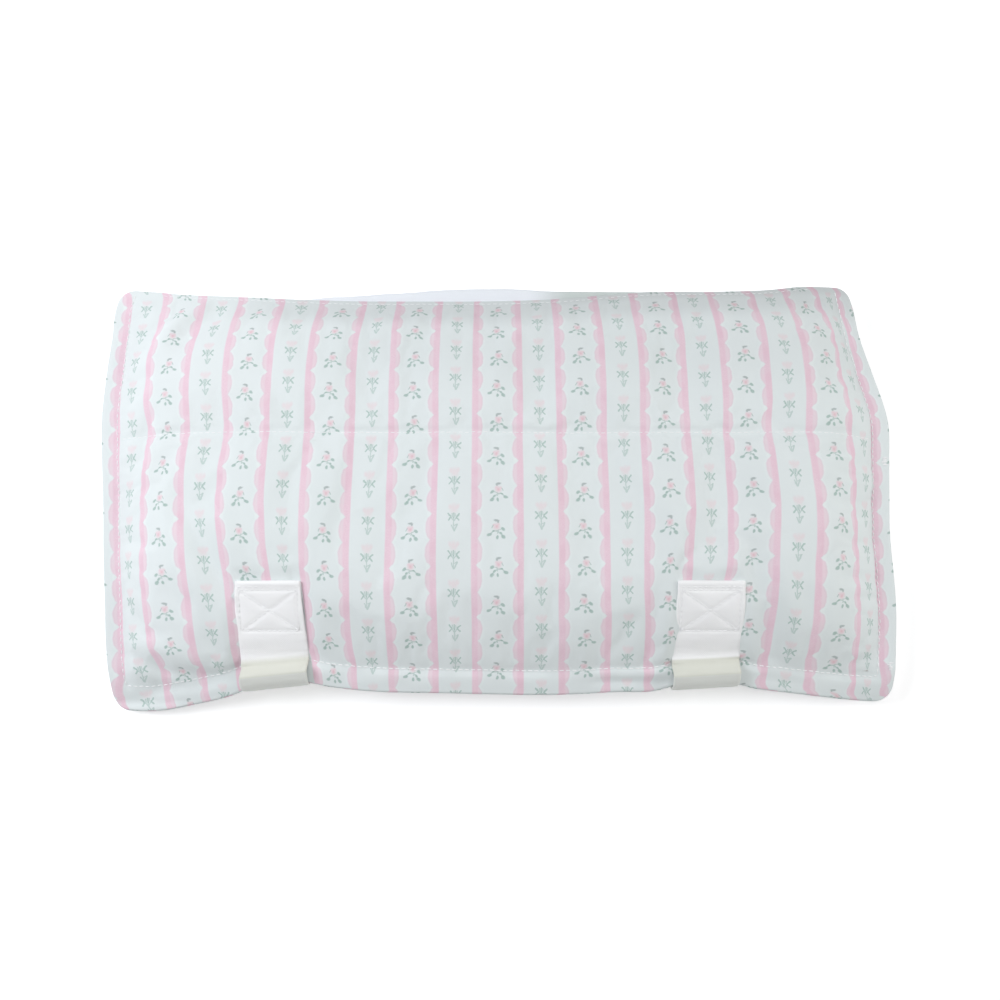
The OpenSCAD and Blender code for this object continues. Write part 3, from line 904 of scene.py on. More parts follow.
def cross_lines(x, half, near, far):
    return [((x - half, far), (x + half, near)), ((x + half, far), (x - half, near))]


def smooth_path(points, count, rounds):
    return resample(soften(resample(points, step=1.0), rounds), count)


def line_normal(line, y, up):
    slope = (np.interp(y + 1, *line) - np.interp(y - 1, *line)) / 2
    normal = np.array([0, -slope, 1.0]) * up
    return normal / np.linalg.norm(normal)


def nothing(*_):
    return 0.0


class Strap:
    """One strap: its YZ paths, its shape in plan and the pieces made from them."""

    def __init__(self, side):
        self.side, self.x, self.looks = side, STRAP_X[side], STRAP_LOOKS[side]
        self.seed = self.looks["seed"]
        self.box = (self.x, STRAP_WIDTH / 2 - BOX_IN, BOX_NEAR, BOX_FAR)
        self.box_lines = frame_lines(*self.box) + cross_lines(*self.box)
        self.bend = (LOOP_NEAR - 0.1, (SWING_Z + PEEL_Z) / 2 - 1.0)   # where the lengths join
        self.upper_path = smooth_path(self.upper_points(), 190, rounds=1)
        tip = int(np.argmax(self.upper_path[:, 0]))
        line = self.upper_path[:tip + 1]
        self.tab_line = line[np.argsort(line[:, 0])].T     # y, z without the turned-under hem
        self.lower_path = smooth_path(self.lower_points(), 110, rounds=2)
        self.base_line = self.lower_path[int(np.argmin(self.lower_path[:, 0])):].T

    def width(self, y):
        looks = self.looks
        return float(np.interp(y, [PEEL_Y + 2, -90, -74, TIP_Y],
                               [looks["bend"], looks["middle"] + 0.5, looks["middle"],
                                looks["tip"]]))

    def shear(self, y):
        return self.looks["slant"] * float(1 - ease(-108, -84, y))

    def shift(self, y):
        return self.looks["lean"] * float(1 - ease(-108, -66, y))

    def rest_line(self, ys, surface, rounds):
        """Mean of the five most prominent of nine heights across the strap at each y."""
        up = surface.up
        z = [up * np.mean(sorted(up * surface.height(self.x + offset, y)
                                 for offset in np.linspace(-11, 11, 9))[4:]) for y in ys]
        return soften(z, rounds)

    def upper_points(self):
        """From the bend over the crease to the tab's tip, which is folded under."""
        ys = np.linspace(PEEL_Y + 9.5, TIP_Y - 0.8, 40)
        zs = self.rest_line(ys, front, 4) + (2.4 + 0.7 * ease(TIP_Y - 16, TIP_Y, ys))
        crease_z = PEEL_Z + 2.75
        crease = [self.bend, (LOOP_NEAR + 1.2, PEEL_Z - 2.4), (LOOP_NEAR + 3.2, PEEL_Z + 0.2),
                  (PEEL_Y + 3.2, PEEL_Z + 2.35), (PEEL_Y + 4.0, crease_z),
                  (PEEL_Y + 7.0, crease_z * 0.45 + zs[0] * 0.55 + 0.1)]
        y, z = ys[-1], zs[-1]
        hem = [(y + 0.75, z - 0.35), (y + 0.95, z - 0.85), (y + 0.7, z - 1.4),
               (y - 0.2, z - 1.75)]
        hem += [(y - back, float(np.interp(y - back, ys, zs)) - 1.72) for back in (2, 4, 6, 8)]
        return crease + list(zip(ys, zs)) + hem

    def lower_points(self):
        """From the bend down to the stitching under the back half."""
        ys = np.linspace(SWING_Y + 10.5, BASE_FAR, 26)
        zs = np.maximum(self.rest_line(ys, covers["back"], 3) - 0.95, 1.0)
        turn_z = SWING_Z - 2.1
        return [self.bend, (LOOP_NEAR + 0.15, SWING_Z + 2.6), (LOOP_NEAR + 1.0, SWING_Z + 0.3),
                (SWING_Y - 1.6, SWING_Z - 1.4), (SWING_Y + 1.0, turn_z),
                (SWING_Y + 5.0, (turn_z + zs[0]) / 2 + 0.4)] + list(zip(ys, zs))

    def dent(self, x, y, z):
        """The stitching pulls the webbing in along its lines, and it swells between them."""
        if y < PEEL_Y + 5 or z < float(np.interp(y, *self.tab_line)) - 1.0:
            return 0.0
        nearest = 99.0
        for (x0, y0), (x1, y1) in self.box_lines:
            dx, dy = x1 - x0, y1 - y0
            t = ((x - x0) * dx + (y - y0) * dy) / (dx * dx + dy * dy)
            t = min(1.0, max(0.0, t))
            nearest = min(nearest, math.hypot(x - x0 - t * dx, y - y0 - t * dy))
        hem_edge = 0.22 * bell(y - (TIP_Y - 3.0), 0.7)
        return 0.42 * bell(nearest, 1.0) - 0.18 * bell(nearest - 4.5, 2.6) + hem_edge

    def drape(self, x, y):
        """The free edges of the tab lie down on the cover beside them."""
        center = self.x + self.shift(y)
        outer = min(1.0, max(0.0, abs(x - center) - 6.5) / 12.0) ** 1.7
        if outer == 0.0:
            return 0.0
        beside = front.height(center + math.copysign(20.5, x - center), y)
        gap = float(np.interp(y, *self.tab_line)) - 0.9 - beside
        return outer * min(max(gap, 0.0), 1.8) * (1 - math.exp(-max(0.0, y + 110) / 7.0))

    def upper_painted_shade(self, y):
        """Painted shade on the webbing: 0 for white at the tip, rising to 0.8 for a warm painted
        shade towards the crease, and 2 for the greyer painted shade round the bend.
        """
        if y <= PEEL_Y + 3.3:
            return 2.0
        fade = self.looks["fade"]
        return float(1 - ease(-102.0 - fade, -101.0 + fade, y)) * 0.8

    # painted shade: 2 round the bend, and 0.4, part of the warm painted shade, under the back half
    def lower_painted_shade(self, y):
        return 2.0 if y < SWING_Y + 2 else 0.4

    def ribbon(self, part, path, painted_web_shade, wave, seed, dent=nothing, drape=nothing, cross=35):
        """A band of webbing with rounded edges along a YZ path."""
        ahead = np.gradient(path, axis=0)
        ahead /= np.linalg.norm(ahead, axis=1, keepdims=True)
        normals = np.stack([-ahead[:, 1], ahead[:, 0]], 1)
        lengths = np.linalg.norm(np.diff(path, axis=0), axis=1)
        along = np.concatenate([[0], np.cumsum(lengths)])
        us = np.linspace(-1, 1, cross)
        us = np.sign(us) * (1 - (1 - np.abs(us)) ** 1.2)      # closer together at the edges
        section = [(u, 1) for u in us] + [(u, -1) for u in us[::-1]]
        points, print_mm, painted_web_shades = [], [], []
        for (path_y, path_z), normal, s in zip(path, normals, along):
            half = self.width(path_y) / 2
            for u, face in section:
                rounding = 0.35 + 0.65 * math.sqrt(max(1 - abs(u) ** 14, 0))
                h = face * WEB_THICKNESS / 2 * rounding
                lift = wave * float(noise(s / 13.0, u * 1.6 + 3, seed)) * (0.4 + 0.6 * abs(u))
                x = self.x + u * half * (1 + 0.008 * float(noise(s / 7.0, 0.2, seed + 1)))
                lift -= dent(x, path_y, path_z)
                y, z = (path_y, path_z) + normal * (h + lift)
                y += u * self.shear(path_y)
                x += self.shift(path_y)
                points.append((x, y, z - drape(x, path_y)))
                print_mm.append((u * half, s, face))
                painted_web_shades.append(painted_web_shade(path_y))
        sides = len(section)
        faces = tube_sides(len(path), sides)
        for base in (0, (len(path) - 1) * sides):
            faces += [(base + k, base + k + 1, base + sides - 2 - k, base + sides - 1 - k)
                      for k in range(cross - 1)]
        ob = make_object(f"{self.side}_strap_{part}", points, faces)
        recalc_normals(ob)
        point_attribute(ob, "print_mm", print_mm)
        # the painted shade level of the webbing at each point
        point_attribute(ob, "painted_web_shade", painted_web_shades)
        return ob

    def box_thread(self):
        """Box and cross stitching on the tab's upper face, and a row along its hem."""

        def height(x, y):
            # 0.42 below the face, where the stitching pulls it in
            return float(np.interp(y, *self.tab_line)) + WEB_SKIN - 0.42 - self.drape(x, y)

        def hem_height(x, y):
            return height(x, y) + 0.15

        def normal(x, y):
            return line_normal(self.tab_line, y, 1)

        spacing = dict(lift=0.20, length=2.3, gap=0.8)
        rows = []
        for line in self.box_lines:
            rows += stitch_row(line, height, normal, seed=self.seed + 11, **spacing)
        reach = self.box[1] + 1
        hem = [(self.x - reach, HEM_STITCH_Y), (self.x + reach, HEM_STITCH_Y)]
        rows += stitch_row(hem, hem_height, normal, seed=self.seed + 13, **spacing)
        return stitch_object(f"{self.side}_box_thread", rows, 0.27, self.seed)

    def anchor_thread(self):
        """Box and cross stitching on the lower face, under the back half."""

        def height(x, y):
            return float(np.interp(y, *self.base_line)) - WEB_SKIN

        def normal(x, y):
            return line_normal(self.base_line, y, -1)

        box = (self.x, self.box[1], ANCHOR_NEAR, ANCHOR_FAR)
        rows = []
        for lines, seed in ((frame_lines(*box), 15), (cross_lines(*box), 16)):
            for line in lines:
                rows += stitch_row(line, height, normal, lift=0.12, seed=self.seed + seed,
                                   length=2.3, gap=0.7)
        return stitch_object(f"{self.side}_anchor_thread", rows, 0.25, self.seed)

    def patch_grid(self, near, far, nx, ny):
        half = PATCH_WIDTH / 2
        return np.meshgrid(np.linspace(self.x - half, self.x + half, nx),
                           np.linspace(near, far, ny), indexing="ij")

    def patch_base(self, part, x, y, z, turn, thickness, radius):
        return thick_sheet(f"{self.side}_{part}_patch_base", np.stack([x, y, z], 2),
                           np.stack([x - self.x, y, 0 * x], 2), turn, thickness, radius,
                           steps=2)

    def loop_base(self):
        """Fabric base of the loop patch, on the front cover."""
        x, y = self.patch_grid(PATCH_NEAR, PATCH_FAR, 33, 36)
        z = front.heights(x, y) + 0.55 + 0.10 * noise(x / 1.3, y / 1.3, self.seed)
        return self.patch_base("loop", x, y, z, turn=1, thickness=0.4, radius=0.25)

    def loop_pile(self, pitch=1.25, sections=7, sides=3, thread_radius=0.075):
        """A field of small loops of thread on the patch."""
        rng = np.random.RandomState(40 + self.seed)
        left, right = self.x - PATCH_WIDTH / 2, self.x + PATCH_WIDTH / 2
        arc_angle = math.pi * np.arange(sections) / (sections - 1)
        ring_angle = (2 * math.pi * np.arange(sides) / sides)[:, None]
        before = np.maximum(np.arange(sections) - 1, 0)
        after = np.minimum(np.arange(sections) + 1, sections - 1)
        points, faces = [], []
        for column in np.arange(left + 1.4, right - 1.0, pitch):
            for row in np.arange(PATCH_NEAR + 1.4, PATCH_FAR - 1.0, pitch):
                x, y = column + 0.35 * rng.randn(), row + 0.35 * rng.randn()
                if not (left + 0.8 < x < right - 0.8
                        and PATCH_NEAR + 0.8 < y < PATCH_FAR - 0.8):
                    continue
                turn = rng.rand() * math.pi
                height = 0.50 + 0.18 * rng.rand()
                span = 0.55 + 0.25 * rng.rand()
                across = np.array([math.cos(turn), math.sin(turn), 0])
                aside = np.array([-across[1], across[0], 0])
                arc = np.array([x, y, front.height(x, y) + 0.58])
                arc = arc + np.outer(np.cos(arc_angle), across) * span / 2
                arc[:, 2] += np.sin(arc_angle) * height
                tangent = arc[after] - arc[before]
                tangent /= np.linalg.norm(tangent, axis=1, keepdims=True)
                outward = np.cross(tangent, aside)[:, None]
                ring = aside * np.cos(ring_angle) + outward * np.sin(ring_angle)
                base = len(points) * sections * sides
                points.append((arc[:, None] + ring * thread_radius).reshape(-1, 3))
                faces += tube_sides(sections, sides, base) + tube_ends(sections, sides, base)
        return make_object(f"{self.side}_loop_pile", np.concatenate(points), faces)

    def loop_thread(self, inset=1.6):
        """A stitched frame round the loop patch."""

        def height(x, y):
            return front.height(x, y) + 0.6

        rows = []
        for line in frame_lines(self.x, PATCH_WIDTH / 2 - inset, PATCH_NEAR + inset,
                                PATCH_FAR - inset):
            rows += stitch_row(line, height, front.normal, lift=0.2, seed=self.seed + 17,
                               length=2.2, gap=0.7)
        return stitch_object(f"{self.side}_loop_thread", rows, 0.22, self.seed)

    def hook_base(self):
        """Moulded strip under the tab that carries the hooks."""
        x, y = self.patch_grid(HOOK_NEAR, HOOK_FAR, 25, 28)
        z = np.interp(y, *self.tab_line) - WEB_SKIN - 0.67
        return self.patch_base("hook", x, y, z, turn=-1, thickness=0.45, radius=0.2)

    def hooks(self, pitch=1.5, sides=4):
        """Rows of small hooks that point down at the cover."""
        left, right = self.x - PATCH_WIDTH / 2, self.x + PATCH_WIDTH / 2
        sections = len(HOOK_PROFILE)
        points, faces = [], []
        for x in np.arange(left + 1.3, right - 1.0, pitch):
            for y in np.arange(HOOK_NEAR + 1.2, HOOK_FAR - 0.9, pitch):
                root_z = float(np.interp(y, *self.tab_line)) - WEB_SKIN - 0.67
                base = len(points)
                for forward, rise, radius in HOOK_PROFILE:
                    for k in range(sides):
                        angle = math.pi / 4 + math.pi / 2 * k
                        points.append((x + radius * math.cos(angle),
                                       y + forward + radius * math.sin(angle) * 0.8,
                                       root_z + rise))
                # the profile runs downwards, so its faces are turned over
                faces += [(a, d, c, b) for a, b, c, d in tube_sides(sections, sides, base)]
                faces += [end[::-1] for end in tube_ends(sections, sides, base)]
        return make_object(f"{self.side}_hooks", points, faces)

    def build(self):
        return {
            "upper": self.ribbon("upper", self.upper_path, self.upper_painted_shade, wave=0.30,
                                 seed=self.seed, dent=self.dent, drape=self.drape),
            "lower": self.ribbon("lower", self.lower_path, self.lower_painted_shade, wave=0.10,
                                 seed=self.seed + 3),
            "box": self.box_thread(),
            "anchor": self.anchor_thread(),
            "loop_base": self.loop_base(),
            "loop_pile": self.loop_pile(),
            "loop_thread": self.loop_thread(),
            "hook_base": self.hook_base(),
            "hooks": self.hooks()}


straps = {side: Strap(side).build() for side in STRAP_X}

# ---------------------------------------------------------------- node materials


class Value:
    """A node's output; arithmetic on it adds Math nodes."""

    def __init__(self, graph, socket):
        self.graph, self.socket = graph, socket

    def __add__(self, other):
        return self.graph.math("ADD", self, other)

    def __radd__(self, other):
        return self.graph.math("ADD", other, self)

    def __sub__(self, other):
        return self.graph.math("SUBTRACT", self, other)

    def __rsub__(self, other):
        return self.graph.math("SUBTRACT", other, self)

    def __mul__(self, other):
        return self.graph.math("MULTIPLY", self, other)

    def __truediv__(self, other):
        return self.graph.math("DIVIDE", self, other)

    def __mod__(self, other):
        return self.graph.math("FLOORED_MODULO", self, other)

    def __pow__(self, other):
        return self.graph.math("POWER", self, other)

    def __abs__(self):
        return self.graph.math("ABSOLUTE", self)


class Graph:
    """A material with a Principled surface; each method adds a node and returns its output."""

    def __init__(self, name):
        self.material = bpy.data.materials.new(name)
        self.material.use_nodes = True
        self.tree = self.material.node_tree
        self.tree.nodes.clear()
        output = self.node("OutputMaterial")
        self.surface = self.node("BsdfPrincipled")
        self.tree.links.new(self.surface.outputs[0], output.inputs[0])

    def node(self, kind):
        return self.tree.nodes.new("ShaderNode" + kind)

    def put(self, socket, value):
        if isinstance(value, Value):
            self.tree.links.new(value.socket, socket)
        elif isinstance(value, tuple):
            socket.default_value = (*value, 1.0)
        else:
            socket.default_value = float(value)

    def math(self, operation, *values, clamp=False):
        node = self.node("Math")
        node.operation = operation
        node.use_clamp = clamp
        for socket, value in zip(node.inputs, values):
            self.put(socket, value)
        return Value(self, node.outputs[0])

    def sine(self, value):
        return self.math("SINE", value)

    def fade(self, value, full, none):
        """1 where value is at full, 0 where it is at none, smooth between."""
        node = self.node("MapRange")
        node.interpolation_type = "SMOOTHSTEP"
        self.put(node.inputs["Value"], value)
        node.inputs["From Min"].default_value = min(full, none)
        node.inputs["From Max"].default_value = max(full, none)
        node.inputs["To Min"].default_value = 0.0 if full > none else 1.0
        node.inputs["To Max"].default_value = 1.0 if full > none else 0.0
        return Value(self, node.outputs[0])

    def attribute(self, name, output):
        node = self.node("Attribute")
        node.attribute_name = name
        return Value(self, node.outputs[output])

    def object_place(self):
        return Value(self, self.node("TexCoord").outputs["Object"])

    def split(self, vector):
        node = self.node("SeparateXYZ")
        self.put(node.inputs[0], vector)
        return [Value(self, output) for output in node.outputs]

    def print_place(self):
        return self.split(self.attribute("print_mm", "Vector"))

    def mix(self, share, a, b):
        node = self.node("Mix")
        node.data_type = "RGBA"
        node.clamp_factor = True
        for index, value in ((0, share), (6, a), (7, b)):
            self.put(node.inputs[index], value)
        return Value(self, node.outputs[2])

    def noise(self, vector, scale, detail=2.0, roughness=0.5):
        node = self.node("TexNoise")
        self.put(node.inputs["Vector"], vector)
        node.inputs["Scale"].default_value = scale
        node.inputs["Detail"].default_value = detail
        node.inputs["Roughness"].default_value = roughness
        return Value(self, node.outputs[0])

    def cloth_noise(self, u, v, scale_u, scale_v, offset=0.0, detail=2.0, roughness=0.5):
        """Noise over print coordinates, with its own scale each way."""
        u, v = u * scale_u, v * scale_v
        node = self.node("CombineXYZ")
        for socket, value in zip(node.inputs, (u, v, offset)):
            self.put(socket, value)
        return self.noise(Value(self, node.outputs[0]), 1.0, detail, roughness)

    def bump(self, height, strength, distance, normal=None):
        node = self.node("Bump")
        node.inputs["Strength"].default_value = strength
        node.inputs["Distance"].default_value = distance
        self.put(node.inputs["Height"], height)
        if normal is not None:
            self.put(node.inputs["Normal"], normal)
        return Value(self, node.outputs[0])

    def plain_weave(self, u, v, pitch, warp_phase=0.0):
        """Height of over-and-under threads of a plain weave."""
        a, b = u * (math.pi / pitch), v * (math.pi / pitch)
        sine_a, sine_b = self.sine(a), self.sine(b)
        warp, weft = abs(sine_a), abs(sine_b)
        checks = (self.math("SIGN", self.sine(a + warp_phase)) * self.math("SIGN", sine_b))
        over = checks * 0.5 + 0.5
        return over * warp + (1.0 - over) * weft

    def yarn(self, u, v, pitch, slow, fast):
        """A plain weave with slubs that run both ways."""
        weave = self.plain_weave(u, v, pitch)
        slubs_u = self.cloth_noise(u, v, slow, fast)
        slubs_v = self.cloth_noise(u, v, fast, slow)
        return weave * 0.6 + (slubs_u + slubs_v) * 0.35

    def finish(self, color, roughness, normal=None, sheen=0.0, specular=0.1):
        inputs = self.surface.inputs
        self.put(inputs["Base Color"], color)
        self.put(inputs["Roughness"], roughness)
        inputs["Specular IOR Level"].default_value = specular
        inputs["Sheen Weight"].default_value = sheen
        inputs["Sheen Roughness"].default_value = 0.5
        if normal is not None:
            self.put(inputs["Normal"], normal)
        return self.material


def srgb(*channels):
    def linear(c):
        return c / 255 / 12.92 if c / 255 <= 0.04045 else ((c / 255 + 0.055) / 1.055) ** 2.4
    return tuple(linear(c) for c in channels)


GROUND_A, GROUND_B = srgb(234, 240, 240), srgb(229, 237, 236)
HALO = srgb(240, 246, 245)
PINK_A, PINK_B, PINK_DEEP = srgb(243, 214, 225), srgb(238, 206, 219), srgb(235, 197, 212)
SCALLOP, RIM = srgb(240, 217, 226), srgb(226, 208, 216)
TULIP_BLOOM, TULIP_LEAF = srgb(240, 212, 217), srgb(166, 193, 184)
ROSE_BLOOM, ROSE_CENTER = srgb(238, 188, 199), srgb(222, 150, 168)
ROSE_BUD, ROSE_LEAF = srgb(160, 172, 170), srgb(156, 184, 175)
# near-black mixed in as painted shade on the front cover's far edge
PAINTED_SHADE_COLOR = (0.05, 0.03, 0.03)

SCALLOP_PITCH, MOTIF_PITCH = 14.83, 21.2
SCALLOP_SHIFT, TULIP_SHIFT, ROSE_SHIFT = 19.4, 20.6, 5.7
STRIPE_OUTER = 14.5        # outer edge of a stripe, from the middle of a rose column

# painted ellipses: center x, y, radius x, y, angle, softness
TULIP_BLOOM_SHAPES = [(0.1, 5.9, 2.0, 2.4, 0, 0.75), (-1.7, 6.6, 1.1, 1.7, 0.4, 0.7),
                      (1.8, 6.6, 1.1, 1.7, -0.4, 0.7)]
ROSE_BLOOM_SHAPES = [(0.5, 1.6, 1.7, 1.9, 0, 0.65), (-0.4, 2.6, 0.9, 0.9, 0, 0.6),
                     (1.7, 2.4, 0.9, 0.9, 0, 0.6)]
ROSE_CENTER_SHAPES = [(0.5, 1.5, 0.6, 0.75, 0.4, 0.7)]
ROSE_BUD_SHAPES = [(0.55, 5.0, 1.45, 0.62, 0.12, 0.5), (-0.35, 4.3, 0.6, 0.7, 0, 0.6)]
ROSE_LEAF_SHAPES = [
    (-3.0, 0.1, 1.3, 0.80, 0.75, 0.4), (-3.1, -4.3, 1.35, 0.95, 0.7, 0.4),
    (4.6, -3.0, 1.35, 0.80, -0.25, 0.4), (0.1, -4.4, 0.72, 1.1, 0.15, 0.4),
    (-1.9, -2.2, 0.8, 0.45, 0.75, 0.45), (2.3, -1.0, 0.75, 0.45, -0.4, 0.45)]
# painted strokes: start x, y, end x, y, half width
TULIP_LEAF_STROKES = [
    (-3.0, 3.0, -1.9, 1.7, 0.46), (-1.7, 0.7, -2.9, -0.9, 0.42), (3.1, 2.7, 1.8, 1.3, 0.46),
    (1.6, 0.5, 3.0, -0.9, 0.42), (0.0, 3.2, 0.0, 0.4, 0.36)]
TULIP_STEM_STROKES = [
    (0.0, 0.4, 0.0, -6.9, 0.30), (-1.0, 2.9, -0.8, 0.9, 0.34), (-1.9, 1.6, 0.0, -1.5, 0.32),
    (1.8, 1.2, 0.0, -1.5, 0.32), (0.9, 2.9, 0.9, 1.3, 0.30), (0.4, -6.8, 1.9, -3.3, 0.46),
    (1.8, -3.2, 0.3, -4.0, 0.26), (-0.2, -6.3, -1.2, -3.6, 0.34)]
ROSE_STEM_STROKES = [
    (0.0, -1.1, -2.8, -3.6, 0.38), (0.0, -1.0, 2.3, -0.9, 0.38), (2.3, -0.9, 4.0, -2.5, 0.38),
    (-0.3, -0.2, 0.0, -2.2, 0.24), (2.4, 2.2, 3.1, 0.9, 0.30), (-2.2, 0.2, -0.6, -0.4, 0.22)]


def ellipse(g, x, y, center_x, center_y, radius_x, radius_y, angle, soft):
    """Coverage of a painted ellipse: 1 inside, 0 outside, with a soft rim."""
    dx, dy = x - center_x, y - center_y
    if angle:
        c, s = math.cos(angle), math.sin(angle)
        dx, dy = dx * c + dy * s, dy * c - dx * s
    square = abs(dx / radius_x) ** 2.0 + abs(dy / radius_y) ** 2.0
    return g.fade(g.math("SQRT", square), 1 - soft, 1 + soft)


def stroke(g, x, y, x0, y0, x1, y1, half_width, soft=0.5):
    """Coverage of a short painted stroke."""
    dx, dy = x1 - x0, y1 - y0
    px, py = x - x0, y - y0
    t = g.math("DIVIDE", px * dx + py * dy, dx * dx + dy * dy, clamp=True)
    ex, ey = px - t * dx, py - t * dy
    distance = g.math("SQRT", ex * ex + ey * ey)
    return g.fade(distance, half_width * (1 - soft), half_width * (1 + soft))


def painted(g, shape, x, y, table):
    """Coverage of all the shapes in a table together."""
    return reduce(lambda a, b: g.math("MAXIMUM", a, b), [shape(g, x, y, *row) for row in table])


def printed_cotton():
    """Scalloped stripes with columns of tulips and of rose sprigs between them."""
    g = Graph("printed_cotton")
    # the third print value is the painted shade of the front cover's far edge
    u0, v, painted_shade = g.print_place()
    u = u0 + (g.cloth_noise(u0, v, 0.02, 0.02, detail=1.0) - 0.5) * 0.5    # slow drift
    period = 2 * PITCH
    rose_u = (u + 1.5 * PITCH) % period - PITCH
    d = abs(rose_u)

    # stripe: a full band with a straight outer edge, and paler scallops on its inner edge
    t = abs(((v + SCALLOP_SHIFT) % SCALLOP_PITCH - SCALLOP_PITCH / 2) / (SCALLOP_PITCH / 2))
    arc = 1.0 - t ** 2.4
    second = (v + (SCALLOP_SHIFT + SCALLOP_PITCH)) % (SCALLOP_PITCH * 2) - SCALLOP_PITCH
    deep = g.fade(abs(second), 0.4, 2.6)         # every second notch is deeper
    hand = (g.cloth_noise(u, v, 0.35, 0.35, detail=1.0) - 0.5) * 0.9
    inner = (STRIPE_OUTER - 3.5) - arc * 2.5 + deep * 0.9 + hand
    past_inner = g.fade(inner - d, -0.6, 0.5)
    within_outer = g.fade(d - STRIPE_OUTER, -0.5, 0.55)
    stripe = past_inner * within_outer
    core_edge = ((STRIPE_OUTER - 3.4) - d) - hand * 0.6
    core = g.fade(core_edge, -0.6, 0.7) * within_outer * past_inner
    rim = (g.fade(abs((inner - d) + 0.45), 0.1, 0.75)
           * g.fade((STRIPE_OUTER - 3.9) - d, 0.4, -0.4))
    halo = g.fade((inner - 1.3) - d, -0.6, 0.7) * within_outer
    tip_weight = 1.0
    tip = deep * (g.fade(abs(d - (STRIPE_OUTER - 4.4)), 0.5, 1.5) * tip_weight)

    # tulips, all upright; jitter makes the drawing uneven
    tulip_u = (u + PITCH / 2) % period - PITCH
    tulip_v = (v + TULIP_SHIFT) % MOTIF_PITCH - MOTIF_PITCH / 2
    jitter = 1.0
    jitter_x = (g.cloth_noise(u, v, 0.5, 0.5, detail=1.0) - 0.5) * jitter
    jitter_y = (g.cloth_noise(u, v, 0.5, 0.5, offset=5.0, detail=1.0) - 0.5) * jitter
    x, y = tulip_u + jitter_x, tulip_v + jitter_y
    tulip_bloom = painted(g, ellipse, x, y, TULIP_BLOOM_SHAPES)
    tulip_leaf = painted(g, stroke, x, y, TULIP_LEAF_STROKES)
    tulip_stem = painted(g, stroke, x, y, TULIP_STEM_STROKES)

    # rose sprigs, alternately mirrored
    rose_v = v + ROSE_SHIFT
    sprig_v = rose_v % MOTIF_PITCH - MOTIF_PITCH / 2
    row = g.math("FLOOR", rose_v / MOTIF_PITCH) % 2.0
    flip = 1.0 - row * 2.0
    x, y = rose_u * flip + jitter_x * 0.8, sprig_v + jitter_y * 0.8
    rose_bloom = painted(g, ellipse, x, y, ROSE_BLOOM_SHAPES)
    rose_center = painted(g, ellipse, x, y, ROSE_CENTER_SHAPES)
    rose_bud = painted(g, ellipse, x, y, ROSE_BUD_SHAPES)
    rose_stem = painted(g, stroke, x, y, ROSE_STEM_STROKES)
    rose_leaf = painted(g, ellipse, x, y, ROSE_LEAF_SHAPES)

    ground = g.mix(g.cloth_noise(u0, v, 0.012, 0.012, offset=3.0), GROUND_A, GROUND_B)
    fleck = g.cloth_noise(u0, v, 1.1, 1.1, detail=3.0, roughness=0.7)
    wash = g.cloth_noise(u0, v, 0.12, 0.09, offset=9.0)
    pink = g.mix(g.fade(fleck, 0.68, 0.34), PINK_A, PINK_B)
    pink = g.mix(g.fade(wash, 0.66, 0.40) * 0.5, pink, PINK_DEEP)
    scallop = g.mix(g.fade(wash, 0.62, 0.38), SCALLOP, PINK_A)
    dry = 0.72 + fleck * 0.4      # ink that takes unevenly
    # coverage, strength, colour, and the dryness of its ink, from the bottom layer up
    layers = [
        (halo, 0.30, HALO, None), (stripe, 0.85, scallop, None), (rim, 0.30, RIM, None),
        (core, 0.92, pink, None), (tip, 0.5, HALO, None),
        (tulip_bloom, 0.5, TULIP_BLOOM, dry), (tulip_leaf, 0.85, TULIP_LEAF, dry),
        (tulip_stem, 0.62, TULIP_LEAF, dry), (rose_bloom, 0.55, ROSE_BLOOM, dry),
        (rose_center, 0.30, ROSE_CENTER, None), (rose_stem, 0.6, ROSE_LEAF, dry),
        (rose_bud, 0.8, ROSE_BUD, None), (rose_leaf, 0.88, ROSE_LEAF, dry)]
    color = ground
    for coverage, strength, ink, dryness in layers:
        share = coverage * strength
        color = g.mix(share * dryness if dryness else share, color, ink)

    yarn = g.yarn(u0, v, pitch=0.42, slow=0.35, fast=3.4)
    # painted shade in the hollows of the weave, darker where the yarn dips
    color = g.mix(g.fade(yarn, 0.75, 0.15) * 0.10, color, (0.62, 0.62, 0.64))
    # painted shade: darkens the cloth towards the far edge
    color = g.mix(painted_shade, color, PAINTED_SHADE_COLOR)
    crinkle = g.cloth_noise(u0, v, 0.11, 0.11, offset=8.0, detail=3.0, roughness=0.55)
    normal = g.bump(crinkle, strength=0.22, distance=0.0011)
    normal = g.bump(yarn, strength=0.30, distance=0.00022, normal=normal)
    return g.finish(color, 0.80 + (yarn - 0.5) * 0.12, normal, sheen=0.18, specular=0.18)


def plain_cloth(name, tint_a, tint_b, pitch, strength, right_painted_shade=None):
    """Plain woven cloth; a greyer colour given as painted shade takes over towards +X."""
    g = Graph(name)
    u, v, _ = g.print_place()
    yarn = g.yarn(u, v, pitch, slow=0.3, fast=3.0)
    color = g.mix(g.cloth_noise(u, v, 0.03, 0.03), tint_a, tint_b)
    if right_painted_shade is not None:
        # painted shade: greyer towards +X
        color = g.mix(g.fade(u, 50.0, 20.0), color, right_painted_shade)
    # painted shade in the hollows of the weave, darker where the yarn dips
    color = g.mix(g.fade(yarn, 0.75, 0.15) * 0.14, color, (0.55, 0.55, 0.58))
    crinkle = g.cloth_noise(u, v, 0.12, 0.12, offset=4.0, detail=3.0)
    normal = g.bump(crinkle, strength=0.25, distance=0.0012)
    normal = g.bump(yarn, strength, distance=0.00028, normal=normal)
    return g.finish(color, 0.8 + (yarn - 0.5) * 0.14, normal, sheen=0.3, specular=0.15)


